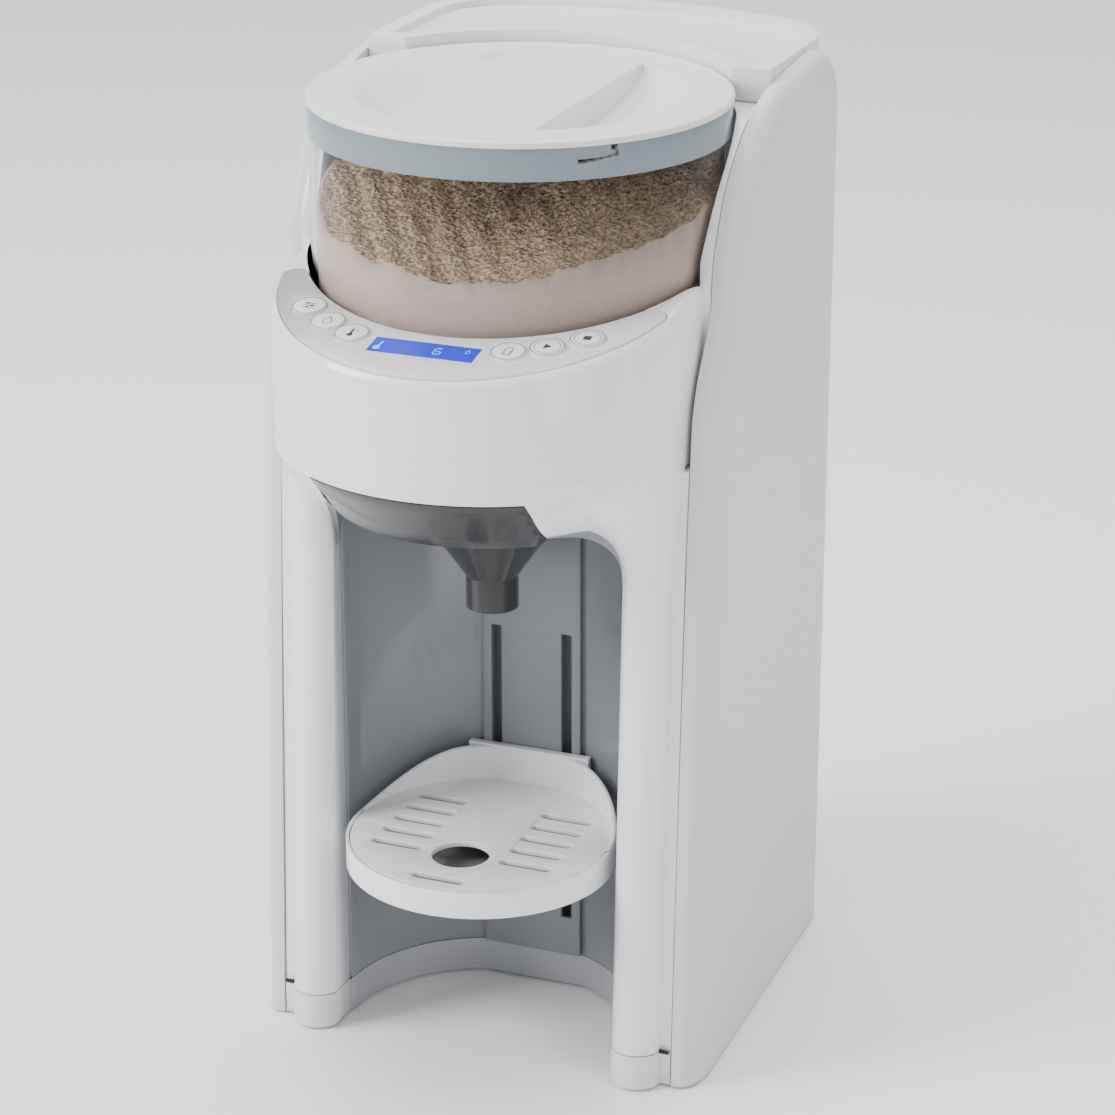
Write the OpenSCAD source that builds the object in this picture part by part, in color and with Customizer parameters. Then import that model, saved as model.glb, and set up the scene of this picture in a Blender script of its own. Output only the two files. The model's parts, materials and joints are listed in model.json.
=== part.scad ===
// Powdered formula dispenser for baby bottles.
// A powder hopper sits in the head over a bottle niche. A motor turns a dosing
// wheel in the hopper's floor, and a pump sends warm water from the rear tank
// to the funnel, where both fall into the bottle.
// Millimetres, +Z up, the front faces -Y, X = 0 is the plane of symmetry and
// the origin is on the floor at the middle of the footprint.

/* [Overall] */
// Width across the two side panels
body_w = 174; // [168:1:210]
// Height to the rim of the tank lid
body_h = 356; // [330:1:430]
// Depth from the front of the head to the back of the water tank
body_d = 240; // [232:1:290]
// Thickness of the moulded walls
wall = 2.4; // [1.6:0.1:3]

/* [Side panels] */
// Thickness of a side panel
panel_t = 9.6; // [6:0.1:12]
// Distance of the panel's front edge behind the front of the head, at the floor
panel_front = 56; // [50:1:62]
// Backward lean of the panel's front edge and of the pillars, in degrees
lean = 2.5; // [1:0.1:4]
// Distance of the panel's back edge in front of the back of the tank
panel_back = 30; // [20:1:40]
// Length over which a side panel's front edge is rounded
panel_round = 16; // [8:1:24]
// Taper of a side panel towards the back, in degrees
panel_taper = 1.2; // [0:0.1:2]

/* [Niche and pillars] */
// Height of the base below its seam
base_h = 14; // [12:1:20]
// Radius of the bottle niche
niche_r = 54; // [44:1:58]
// Distance of the niche's axis behind the front of the head
niche_in = 66; // [62:1:70]
// Half width of the niche's flat back wall
flat_half = 20.4; // [16:0.1:24]
// Radius of a pillar's rounded nose
nose_r = 9.2; // [8:0.1:11]
// Distance of the nose's axis behind the front of the head, at the floor
nose_in = 57.2; // [54:0.2:60]

/* [Head] */
// Set-back of the head's round wall from the width of the shell
head_step = 1.5; // [0.5:0.1:4]
// Radius of the shoulder round the control panel
shoulder_r = 6; // [2:0.5:8]
// Height of the room for the gears and the dock, above the niche's ceiling
mech_h = 41; // [34:1:50]
// Height of the head's lower chamfer above the niche's ceiling
lip_h = 18; // [12:1:20]
// Tilt of the control panel, in degrees
shelf_tilt = 11.1; // [8:0.1:16]
// Drop of the control panel below the hopper's lid, at the front of the hopper
shelf_drop = 67.2; // [60:0.1:74]

/* [Hopper] */
// Outer radius of the powder container
hopper_r = 73.6; // [60:0.1:74]
// Wall of the powder container
hopper_wall = 1.8; // [1.2:0.1:2.5]
// Distance of the hopper's axis behind the front of the head
hopper_in = 105; // [102:1:108]
// Height from the container's floor to the top of its lid
hopper_h = 90; // [80:1:100]
// Height of the clear collar
collar_h = 11.3; // [9:0.1:16]
// Drop of the lid's top below the rim of the tank lid
lid_drop = 4; // [2:0.5:8]
// Thickness of the lid's flange
lid_flange = 2.4; // [2:0.1:4]
// Depth of the lid's finger recesses
grip_depth = 9; // [5:0.5:11]
// Half width of the grip bar between the finger recesses
grip_half = 26; // [20:1:30]

/* [Dosing drive] */
// Module of the gears
gear_m = 1; // [0.8:0.1:1.1]
// Teeth of the gear on the output shaft
out_teeth = 26; // [22:2:28]
// Teeth of the middle gear
idler_teeth = 20; // [16:2:22]
// Teeth of the motor pinion
pinion_teeth = 10; // [10:2:12]
// Radius of the output shaft
shaft_r = 4; // [3:0.1:5]
// Distance of the powder outlet in front of the hopper's axis
outlet_in = 28; // [27:0.5:32]
// Radius of the powder outlet
outlet_r = 10.5; // [8:0.5:11]

/* [Funnel] */
// Half width of the funnel's front plate
plate_half = 39; // [36:0.5:42]
// Radius of the funnel's spout
spout_r = 9.5; // [8:0.1:11]
// Length from the niche's ceiling down to the spout's end
funnel_h = 47; // [40:1:60]
// Travel of the funnel when it is pulled out
funnel_pull = 75; // [60:1:90]

/* [Tray] */
// Height of the tray's cover above the floor
tray_z = 84.8; // [75:0.1:110]
// Gap between the tray and the wall of the niche
tray_gap = 4.7; // [3:0.1:8]
// Pitch of the slots in the tray's cover
slot_pitch = 10.3; // [9:0.1:12]
// Length of a slot
slot_l = 20.4; // [16:0.1:22]
// Width of a slot
slot_w = 3.8; // [3:0.1:5]
// Radius of the hole in the tray's cover
drain_r = 10.5; // [8:0.1:12]

/* [Water tank] */
// Half width of the water tank
tank_half = 70; // [58:1:72]
// Depth of the water tank from front to back
tank_d = 66; // [56:1:70]
// Radius of the tank's rear corners
tank_corner = 28; // [20:1:34]
// Radius of the bowed back
back_bow = 160; // [120:5:400]
// Height of the shelf that carries the tank
tank_shelf = 24; // [18:1:30]
// Height of the tank lid's rim
cap_h = 12; // [10:0.5:16]

/* [Buttons] */
// Radius of a button
button_r = 6.1; // [5:0.1:6.5]
// Travel of a button
button_travel = 0.8; // [0.5:0.1:1]
// Half width of the display window
display_half = 19; // [16:0.5:21]

/* [Clearances] */
// Gap at the seams between covers
seam = 0.4; // [0.3:0.1:0.8]
// Gap round the pieces that lift or slide out
slip = 0.6; // [0.4:0.1:1]
// Radial gap of a shaft in its bearing
fit = 0.05; // [0.03:0.01:0.1]

/* [Hidden] */
$fn = 96;
eps = 0.01;
big = 600;
front_y = -body_d / 2;
back_y = body_d / 2;
shell_half = body_w / 2 - panel_t - seam;
head_r = shell_half - head_step;
head_y = front_y + head_r;
niche_y = front_y + niche_in;
niche_back = niche_y + sqrt(niche_r * niche_r - flat_half * flat_half);
nose_y = front_y + nose_in;
nose_x = niche_r + 0.5 + nose_r;
hopper_y = front_y + hopper_in;
outlet_y = hopper_y - outlet_in;
panel_y0 = front_y + panel_front;
panel_y1 = back_y - panel_back;
lid_top = body_h - lid_drop;
collar_top = lid_top - lid_flange;
collar_z = collar_top - collar_h;
hopper_z = lid_top - hopper_h;
dock_t = 3;
dock_z = hopper_z - seam - dock_t;
ceiling_z = hopper_z - mech_h - seam - 3.6;
lip_z = ceiling_z + lip_h;
shelf_z = lid_top - shelf_drop;
shelf_y = hopper_y - hopper_r;
lid_r = hopper_r + 1;
well_r = lid_r + slip;
rim_r = well_r + 0.6;
ledge_t = 2.4;
tray_r = niche_r - tray_gap;
tray_y = niche_y - 1;
tank_y1 = back_y;
tank_y0 = back_y - tank_d;
bay_y = tank_y0 - slip - wall;
notch_r = well_r + seam;
nozzle_y = outlet_y + 20;
rail_x = niche_r - 19;
cap_z = body_h - cap_h;
tank_top = cap_z - seam;
core_front = niche_back + wall;
gear_z = ceiling_z + wall + 5;
gear_t = 6;
idler_y = hopper_y + gear_m * (out_teeth + idler_teeth) / 2;
pinion_y = idler_y + gear_m * (idler_teeth + pinion_teeth) / 2;
motor_r = 12;
motor_h = 34;
panel_skin = 1.6;
band_r = head_r - 3;
band_y = head_y - 1;
band_end = 4.6;
chamfer = 0.87;
button_x = [-51, -40, -28.5, 28.5, 40, 51];

// ---- curves and plain shapes ----

// Point at t on a smooth curve through p1 and p2, with p0 and p3 beyond them
function through(p0, p1, p2, p3, t) =
    0.5 * (2 * p1 + (p2 - p0) * t + (2 * p0 - 5 * p1 + 4 * p2 - p3) * t * t
           + (3 * p1 - p0 - 3 * p2 + p3) * t * t * t);
// Smooth curve through a list of points, n steps to each span
function smooth(p, n = 5) =
    [for (i = [0 : len(p) - 2]) for (k = [0 : n - 1])
        through(p[max(i - 1, 0)], p[i], p[i + 1], p[min(i + 2, len(p) - 1)], k / n),
     p[len(p) - 1]];
// Arc about c from angle a0 to a1
function arc(c, r, a0, a1, n = 8) =
    [for (i = [0 : n]) let (a = a0 + (a1 - a0) * i / n) c + r * [cos(a), sin(a)]];
function unit(v) = v / norm(v);
// Height of the control panel's plane at y
function shelf(y) = shelf_z + tan(shelf_tilt) * (y - shelf_y);
// Set-back of the leaning front edges at height z
function leaning(z) = tan(lean) * z;

// Front and top edge of a side panel, from the floor to the top at the back
function edge_curve() = smooth([
    [panel_y0, 1],
    [panel_y0 + leaning(lip_z / 2), lip_z / 2],
    [panel_y0 + leaning(lip_z) + 1.5, lip_z - 5],
    [panel_y0 + 16, shelf_z - 26],
    [panel_y0 + 30, shelf_z - 2],
    [panel_y0 + 34, shelf_z + 19],
    [panel_y0 + 49, lid_top - 23],
    [panel_y0 + 79, lid_top - 4],
    [panel_y1 - 29, body_h - 2.5]]);
// Closed outline of a side panel, with its rounded top corner at the back
function panel_outline() = concat(
    edge_curve(),
    arc([panel_y1 - 24, body_h - 26], 24, 84, 0),
    [[panel_y1, 1]]);
// Inward direction at point i of an outline that stands on the floor
function inward(p, i) =
    i == 0 ? [1, 0] : i == len(p) - 1 ? [-1, 0]
    : let (d = unit(p[i + 1] - p[i - 1])) [d[1], -d[0]];

// Rectangle w by d, centred, with all corners of radius r
module rounded(w, d, r) {
    square([w - 2 * r, d], center = true);
    square([w, d - 2 * r], center = true);
    for (x = [-1, 1], y = [-1, 1])
        translate([x * (w / 2 - r), y * (d / 2 - r)]) circle(r);
}
// Ring of outer radius ro, inner radius ri and height h
module tube(ro, ri, h) {
    difference() {
        cylinder(r = ro, h = h);
        translate([0, 0, -1]) cylinder(r = ri, h = h + 2);
    }
}
// A slab from z0 to z1 that takes in everything
module slab(z0, z1) {
    translate([-big / 2, -big / 2, z0]) cube([big, big, z1 - z0]);
}
// Cross-section (y, z) carried across the width, from x0 to x1
module across(x0, x1) {
    translate([x0, 0, 0]) rotate([90, 0, 90]) linear_extrude(x1 - x0) children();
}
// Plan with a bowed back and round rear corners, from y0 to the back
module bowed(half, corner, y0, inset = 0) {
    bow_y = back_y - back_bow;
    cx = half - corner;
    span = back_bow - corner;
    cy = bow_y + sqrt(span * span - cx * cx);
    a = atan2(cy - bow_y, cx) + 0.4;
    far = back_bow * 1.5;
    translate([-half + inset, y0 + inset]) square([2 * (half - inset), cy - y0 - inset]);
    for (s = [-1, 1]) translate([s * cx, cy]) circle(corner - inset);
    intersection() {
        translate([0, bow_y]) circle(back_bow - inset, $fn = 360);
        translate([0, bow_y]) polygon([[0, 0], [far * cos(a), far * sin(a)], [-far * cos(a), far * sin(a)]]);
        translate([-half, y0 + inset]) square([2 * half, big]);
    }
}
// Child on the control panel's plane: its z = 0 is the plane, y up the slope
module on_shelf() {
    translate([0, shelf_y, shelf_z]) rotate([shelf_tilt, 0, 0]) children();
}
module screw(r, l) {
    difference() {
        union() {
            cylinder(r = r * 1.8, h = r);
            translate([0, 0, r - eps]) cylinder(r = r, h = l);
        }
        translate([0, 0, -eps]) cylinder(r = r * 0.8, h = r * 0.6, $fn = 6);
    }
}

// ---- plans of the body ----

// Bottle niche: a round bay that opens to the front
module niche_plan(grow = 0) {
    difference() {
        union() {
            translate([0, niche_y]) circle(niche_r + grow);
            translate([-niche_r - 1 - grow, front_y - 50])
                square([2 * niche_r + 2 + 2 * grow, niche_y - front_y + 50]);
        }
        translate([-big / 2, niche_back + grow]) square([big, 100]);
    }
}
// Pillar noses and the strips beside them; y = 0 is the noses' axis
module pillar_plan(inset = 0) {
    for (s = [-1, 1]) {
        translate([s * nose_x, 0]) circle(nose_r - inset);
        translate([s * nose_x - nose_r + inset, 0]) square([2 * (nose_r - inset), 40]);
        translate([s > 0 ? nose_x : -shell_half + 0.15 + inset, -0.6 + inset])
            square([shell_half - 0.15 - nose_x - inset, 40.6 - inset]);
    }
}
// Rear shelf under the tank
module shelf_plan(inset = 0) {
    bowed(tank_half, tank_corner, core_front + 20, inset);
}
// Body behind the niche, between the panels
module core_plan(inset = 0) {
    translate([-shell_half + inset, niche_y + 1])
        square([2 * (shell_half - inset), panel_y1 - 4 - niche_y - 1 - inset]);
}

// ---- base ----

module base_outline(inset = 0) {
    difference() {
        union() {
            translate([0, nose_y]) pillar_plan(inset);
            core_plan(inset);
            shelf_plan(inset);
        }
        niche_plan(inset);
    }
}
module base_frame() {
    color("white") difference() {
        union() {
            translate([0, 0, 1]) linear_extrude(base_h - 1) base_outline();
            // raised shelf that carries the tank
            translate([0, 0, base_h - eps]) linear_extrude(tank_shelf - base_h) difference() {
                shelf_plan();
                translate([-big / 2, 0]) square([big, bay_y + wall + seam]);
            }
        }
        translate([0, 0, 1 + wall]) linear_extrude(base_h) difference() {
            base_outline(wall);
            translate([-big / 2, bay_y]) square([big, 200]);
        }
        // hollow under the tank shelf
        difference() {
            translate([0, 0, 1 + wall]) linear_extrude(tank_shelf - 1 - 2 * wall)
                shelf_plan(wall);
            translate([-big / 2, 0, 0]) cube([big, bay_y + wall * 2 + seam, 40]);
            translate([0, valve_y, 0]) cylinder(r = socket_r + wall, h = 40);
        }
        for (p = foot_spots()) translate([p[0], p[1], 0]) cylinder(r = foot_r + fit, h = 2.2);
        translate([0, valve_y, 0]) cylinder(r = socket_r + fit, h = 60);
        for (p = base_screw_spots()) translate([p[0], p[1], 0]) cylinder(r = 1.5, h = 8);
        translate([inlet_x, back_y - wall * 3, inlet_z])
            translate([-inlet_w / 2 - seam, 0, -inlet_h / 2 - seam])
                cube([inlet_w + 2 * seam, wall * 6, inlet_h + 2 * seam]);
    }
}
foot_r = 7;
function foot_spots() = [for (s = [-1, 1]) [s * (nose_x - 0.3), nose_y + 2],
                         for (s = [-1, 1]) [s * (tank_half - 24), back_y - 20]];
module rubber_feet() {
    color("dimgray") for (p = foot_spots()) translate([p[0], p[1], 0]) cylinder(r = foot_r, h = 2.2);
}
function base_screw_spots() = [for (s = [-1, 1]) [s * (nose_x - 0.3), nose_y + 18],
                               for (s = [-1, 1]) [s * (shell_half - 12), bay_y - 10]];
module base_screws() {
    color("silver") for (p = base_screw_spots()) translate([p[0], p[1], 1 + wall + seam])
        cylinder(r = 3, h = 1.6);
    color("silver") for (p = base_screw_spots()) translate([p[0], p[1], 1.2])
        cylinder(r = 1.5 - fit, h = 3);
}

// ---- shells ----

// Outside of the head: a round bulge with a conical chamfer below
module head_solid(inset = 0) {
    drop = lip_z - ceiling_z + 10;
    translate([0, head_y, lip_z]) cylinder(r = head_r - inset, h = body_h - lip_z);
    translate([0, head_y, lip_z - drop])
        cylinder(r1 = head_r - inset - drop * chamfer, r2 = head_r - inset, h = drop + eps);
}
// Rounded rim of the head's top, square to the control panel
module head_top() {
    r = head_r + 0.3;
    y = head_y - head_r + r * cos(shelf_tilt) - shoulder_r * sin(shelf_tilt);
    on_shelf() translate([0, (y - shelf_y) / cos(shelf_tilt), 0]) rotate_extrude()
        polygon(concat([[0, -shoulder_r - 1], [r, -shoulder_r - 1]],
                       arc([r - shoulder_r, -shoulder_r], shoulder_r, 0, 90, 6), [[0, 0]]));
    on_shelf() slab(-big, -shoulder_r);
    translate([-big / 2, head_y + 12, 0]) cube([big, big, big]);
}
// Niche: its plan under an arch with round corners
module niche_solid() {
    arch = 17;
    intersection() {
        translate([0, 0, -1]) linear_extrude(ceiling_z + 1) niche_plan();
        rotate([90, 0, 0]) translate([0, 0, -big / 2]) linear_extrude(big) {
            translate([-niche_r - 6, -2]) square([2 * niche_r + 12, ceiling_z - arch - 0.3 + 2]);
            translate([-niche_r - 1 + arch, 0]) square([2 * (niche_r + 1 - arch), ceiling_z + 1]);
            for (s = [-1, 1]) translate([s * (niche_r + 1 - arch), ceiling_z - arch - 0.3])
                circle(arch + 0.3);
        }
    }
}
// Region below the top surface: tilted shelf, then the rise behind the hopper
module under_top() {
    edge = edge_curve();
    rise = [for (p = edge) if (p[1] > shelf(p[0] - 2) + 1) [p[0] - 2, p[1] - 0.6]];
    across(-big / 2, big / 2) polygon(concat(
        [[front_y - 20, -10], [front_y - 20, shelf(front_y - 20)]],
        rise,
        [[back_y, body_h - 2.5], [back_y, -10]]));
}
module front_shell() {
    room_z = ceiling_z + wall;
    room_top = dock_z - ledge_t;
    // bosses for the rear cover's screws
    color("white") for (p = cover_screw_spots()) translate([p[0], bay_y - seam - 0.3, p[1]]) difference() {
        translate([p[0] > 0 ? -4 : -8, -9, -4]) cube([12, 9, 8]);
        rotate([90, 0, 0]) translate([0, 0, -1]) cylinder(r = 1.5 + fit, h = 20);
    }
    color("white") difference() {
        intersection() {
            union() {
                head_solid();
                translate([-shell_half, head_y + 12, lip_z - 12])
                    cube([2 * shell_half, bay_y - head_y, body_h]);
                translate([-shell_half, niche_y + 1, base_h + seam])
                    cube([2 * shell_half, bay_y + 5 - niche_y, lip_z - base_h - 2]);
                intersection() {
                    translate([0, nose_y, 0]) rotate([-lean, 0, 0]) translate([0, 0, -20])
                        linear_extrude(lip_z + 16) pillar_plan();
                    slab(base_h + seam, lip_z - 1);
                }
            }
            head_top();
            under_top();
            slab(base_h + seam, cap_z - seam);
            translate([-big / 2, bay_y - seam - big, 0]) cube([big, big, big]);
        }
        niche_solid();
        // room behind the niche, open to the rear
        translate([0, 0, -1]) linear_extrude(room_z + 1 + eps) difference() {
            translate([-shell_half + wall, nose_y + 14])
                square([2 * (shell_half - wall), big]);
            niche_plan(wall);
        }
        // room under the hopper
        translate([0, head_y, room_z])
            cylinder(r1 = head_r - (lip_z - room_z) * chamfer - wall * 1.3, r2 = head_r - wall * 1.3,
                     h = lip_z - room_z + eps);
        translate([0, head_y, lip_z]) cylinder(r = head_r - wall * 1.3, h = room_top - lip_z);
        translate([-shell_half + wall, head_y + 16, room_z])
            cube([2 * (shell_half - wall), big, room_top - room_z]);
        // well for the hopper, with a ledge for the dock
        translate([0, hopper_y, dock_z - eps]) cylinder(r = well_r, h = body_h);
        translate([0, hopper_y, room_top - 1]) cylinder(r = well_r - 9, h = 10);
        // open rear above the dock
        translate([-shell_half + wall, hopper_y + 50, dock_z - 1]) cube([2 * (shell_half - wall), big, body_h]);
        // opening for the funnel through the lip and the ceiling
        translate([-plate_half - seam, front_y - 10, lip_z - 60])
            cube([2 * (plate_half + seam), front_cut - front_y + 10, 60 + seam]);
        translate([0, outlet_y, ceiling_z - 5]) cylinder(r = outlet_r + 3 + seam, h = 30);
        translate([0, nozzle_y, ceiling_z - 5]) cylinder(r = nozzle_r + fit, h = 30);
        // recess for the control panel, with windows for the buttons and the display
        intersection() {
            on_shelf() translate([0, 0, -panel_skin - seam]) slab(0, 60);
            translate([0, 0, shelf_z - 60]) linear_extrude(big) band_plan(seam);
        }
        intersection() {
            on_shelf() translate([0, 0, -24]) slab(0, 60);
            translate([0, 0, shelf_z - 90]) linear_extrude(big) band_plan(-5);
        }
        for (x = button_x) on_shelf() translate(concat(on_band(x, 0.6), [-16]))
            cylinder(r = button_r + 1 + slip, h = 20);
        on_shelf() translate([-display_half - 3, display_y() - 8, -16])
            cube([2 * display_half + 6, 16, 20]);
        // slots for the tray's hooks
        for (s = [-1, 1]) translate([s * 14 - 2.5, niche_back - 5, 28]) cube([5, 20, 120]);
    }
}
front_cut = front_y + 32;

// Side panel on the +X side: flat inside, its outer edge rounded over
module panel_solid() {
    p = panel_outline();
    n = len(p);
    steps = 7;
    x0 = shell_half + seam;
    reach = body_w / 2 - x0;
    // set-back of the rounded edge is long in front, short at the top and the back
    back = [for (i = [0 : n - 1]) let (t = (p[i][0] - panel_y0) / (panel_y1 - panel_y0))
        panel_round * max(0.3, 1 - 0.85 * t)];
    widest = p[0][0] + back[0];
    // how far out and how far back, level by level
    levels = concat([[0, 0]], [for (k = [0 : steps]) let (a = 90 * k / steps)
        [0.25 + 0.75 * sin(a), 1 - cos(a)]]);
    m = len(levels);
    pts = [for (l = levels) for (i = [0 : n - 1])
        let (q = p[i] + inward(p, i) * l[1] * back[i])
        [x0 + l[0] * (reach - tan(panel_taper) * (q[0] - widest)), q[0], q[1]]];
    sides = [for (j = [0 : m - 2]) for (i = [0 : n - 1]) let (k = (i + 1) % n)
        each [[j * n + i, j * n + k, (j + 1) * n + i], [j * n + k, (j + 1) * n + k, (j + 1) * n + i]]];
    ends = [[for (i = [n - 1 : -1 : 0]) i], [for (i = [0 : n - 1]) (m - 1) * n + i]];
    polyhedron(points = pts, faces = concat(sides, ends));
}
module left_side_panel() {
    color("gainsboro") mirror([1, 0, 0]) panel_solid();
}
module right_side_panel() {
    color("gainsboro") panel_solid();
}
// Wall between the works and the tank bay
module rear_cover() {
    low = base_h + seam;
    top = cap_z - seam;
    color("white") difference() {
        union() {
            translate([-shell_half + seam, bay_y, low]) cube([2 * (shell_half - seam), wall, top - low]);
            intersection() {
                translate([0, hopper_y, dock_z - seam - wall])
                    cylinder(r = notch_r + wall, h = top - dock_z + seam + wall);
                translate([-big / 2, bay_y + 0.5, 0]) cube([big, big, big]);
            }
            for (s = [-1, 1]) translate([s * (shell_half - seam - wall / 2) - wall / 2, bay_y, low])
                cube([wall, panel_y1 - 4 - bay_y, top - low]);
        }
        translate([0, hopper_y, dock_z - seam]) cylinder(r = notch_r, h = big);
        for (p = cover_screw_spots()) translate([p[0], bay_y - 1, p[1]]) rotate([-90, 0, 0]) {
            cylinder(r = 1.6, h = wall + 2);
            translate([0, 0, wall - 0.4]) cylinder(r = 3.2, h = 3);
        }
    }
}
function cover_screw_spots() = [for (s = [-1, 1]) for (z = [base_h + 18, ceiling_z, cap_z - 16])
    [s * (shell_half - 9), z]];
module cover_screws() {
    color("silver") for (p = cover_screw_spots()) translate([p[0], bay_y + wall - 1.4, p[1]])
        rotate([90, 0, 0]) difference() {
            union() {
                translate([0, 0, -1.2]) cylinder(r = 3, h = 1.2);
                translate([0, 0, -eps]) cylinder(r = 1.5, h = wall + 4.6);
            }
            translate([0, 0, -2]) cylinder(r = 1.2, h = 1.4, $fn = 6);
        }
}

// ---- niche and tray ----

insert_half = flat_half - 0.9;
insert_t = 2;
module niche_insert() {
    color("whitesmoke") difference() {
        translate([-insert_half, niche_back - insert_t, base_h + seam])
            cube([2 * insert_half, insert_t, ceiling_z - base_h - 24]);
        for (s = [-1, 1]) translate([s * 14 - 2, niche_back - 10, 30]) cube([4, 20, 116]);
    }
}
tray_h = 10;
tray_floor = 2;
module tray_body() {
    back = niche_back - insert_t - seam;
    plate = flat_half + 3.6;
    color("white") difference() {
        union() {
            intersection() {
                translate([0, tray_y, tray_z - tray_h]) cylinder(r = tray_r, h = tray_h);
                translate([-big / 2, -big, 0]) cube([big, big + back - 0.1, big]);
            }
            // upright plate at the back with two hooks that run in the niche
            translate([-plate, back - 3, tray_z - tray_h]) cube([2 * plate, 3, tray_h + 14]);
            for (s = [-1, 1]) translate([s * 14 - 1.6, back - 1, tray_z - 2])
                cube([3.2, insert_t + wall + 3, 8]);
        }
        intersection() {
            translate([0, tray_y, tray_z - tray_h + tray_floor]) cylinder(r = tray_r - 3.4, h = tray_h);
            translate([-big / 2, -big, 0]) cube([big, big + back - 5, big]);
        }
        intersection() {
            translate([0, tray_y, tray_z - 2.1]) cylinder(r = tray_r - 1.2, h = 30);
            translate([-big / 2, -big, 0]) cube([big, big + back - 3, big]);
        }
    }
}
module tray_cover() {
    color("white") difference() {
        intersection() {
            translate([0, tray_y, tray_z - 2]) cylinder(r = tray_r - 1.2 - seam, h = 2);
            translate([-big / 2, -big, 0]) cube([big, big + niche_back - insert_t - 3 - 2 * seam, big]);
        }
        translate([0, drain_y, tray_z - 5]) cylinder(r = drain_r, h = 10);
        for (k = [0 : 4]) for (s = [-1, 1])
            tray_slot(s * (slot_l / 2 + slot_gap / 2), drain_y + k * slot_pitch);
        tray_slot(0, drain_y - 2 * slot_pitch);
    }
}
slot_gap = 29.6;
drain_y = tray_y - 19.2;
module tray_slot(x, y) {
    translate([x, y, tray_z - 5]) linear_extrude(10) {
        square([slot_l - slot_w, slot_w], center = true);
        for (s = [-1, 1]) translate([s * (slot_l - slot_w) / 2, 0]) circle(slot_w / 2);
    }
}

// ---- funnel ----

spout_z = ceiling_z - funnel_h;
funnel_top = ceiling_z - 1.2;
module funnel() {
    mouth = 27;
    neck_z = spout_z + 12;
    cone_z = funnel_top - 9;
    color("dimgray") difference() {
        union() {
            translate([0, outlet_y, spout_z]) cylinder(r = spout_r, h = neck_z - spout_z + 1);
            translate([0, outlet_y, neck_z]) cylinder(r1 = spout_r, r2 = mouth, h = cone_z - neck_z);
            translate([0, outlet_y, cone_z - eps]) cylinder(r = mouth, h = funnel_top - cone_z);
            funnel_plate();
            // runners
            for (s = [-1, 1]) translate([s > 0 ? 20 : -rail_x, outlet_y - 20, funnel_top - 2])
                cube([rail_x - 20, 34, 2]);
        }
        translate([0, outlet_y, spout_z - 1]) cylinder(r = spout_r - 1.6, h = neck_z - spout_z + 1 + eps);
        translate([0, outlet_y, neck_z]) cylinder(r1 = spout_r - 1.6, r2 = mouth - 1.6, h = cone_z - neck_z);
        translate([0, outlet_y, cone_z - eps]) cylinder(r = mouth - 1.6, h = 30);
    }
}
// Front plate, a strip of the head's chamfer
module funnel_plate() {
    low = funnel_top - 2.4;
    difference() {
        intersection() {
            head_solid();
            translate([-plate_half, front_y - 5, low])
                cube([2 * plate_half, front_cut - front_y + 5 - seam, lip_z - low]);
        }
        head_solid(2.4);
    }
    // web from the plate back to the mouth
    intersection() {
        translate([-22, front_y, low]) cube([44, outlet_y - front_y - 20, 2.4]);
        head_solid(1);
    }
}
module funnel_rails() {
    color("whitesmoke") for (s = [-1, 1]) translate([s * rail_x - 3, outlet_y - 16, funnel_top - 5]) difference() {
        cube([6, 34, ceiling_z - funnel_top + 5 - eps]);
        translate([s > 0 ? -1 : 2, -1, 2.4]) cube([5, 36, 3.2]);
    }
}

// ---- hopper ----

nozzle_r = 2.4;
floor_t = 3;
wheel_t = 6;
module hopper_dock() {
    color("whitesmoke") difference() {
        union() {
            translate([0, hopper_y, dock_z]) cylinder(r = well_r - seam, h = dock_t);
            translate([0, hopper_y, dock_z - 8]) cylinder(r = shaft_r + 4, h = 8 + eps);
            translate([0, outlet_y, ceiling_z + wall + seam]) cylinder(r = outlet_r + 3, h = dock_z - ceiling_z - wall);
        }
        translate([0, hopper_y, dock_z - 20]) cylinder(r = shaft_r + fit, h = 40);
        translate([0, outlet_y, ceiling_z]) cylinder(r = outlet_r, h = 60);
    }
}
module outlet_seal() {
    color("gray") translate([0, outlet_y, ceiling_z - 0.9])
        tube(outlet_r + 2.6, outlet_r, wall + seam + 0.9 - eps * 2);
}
module powder_container() {
    color("lightgray", 0.4) translate([0, hopper_y, 0]) {
        translate([0, 0, hopper_z]) difference() {
            cylinder(r = hopper_r, h = collar_z - hopper_z);
            translate([0, 0, -1]) cylinder(r = hopper_r - hopper_wall, h = big);
        }
    }
}
module container_collar() {
    color("lightsteelblue", 0.6) translate([0, hopper_y, collar_z + eps]) difference() {
        tube(hopper_r + 0.4, hopper_r - hopper_wall, collar_h - eps * 2);
        // bayonet slots of the lid
        for (a = [-43, 77, 197]) rotate(a) {
            translate([hopper_r - 4, -1.2, collar_h - 4]) cube([8, 2.4, 10]);
            for (k = [0 : 4]) rotate(-k * 2.2) translate([hopper_r - 4, -1.6, collar_h - 4.2 - k * 0.4])
                cube([8, 3.2, 1.9]);
        }
    }
}
module container_floor() {
    color("white") translate([0, hopper_y, hopper_z]) difference() {
        cylinder(r = hopper_r - hopper_wall - 0.02, h = floor_t);
        translate([0, 0, -1]) cylinder(r = shaft_r + 3 + fit, h = 10);
        translate([0, -outlet_in, -1]) cylinder(r = outlet_r, h = 10);
    }
}
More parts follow.
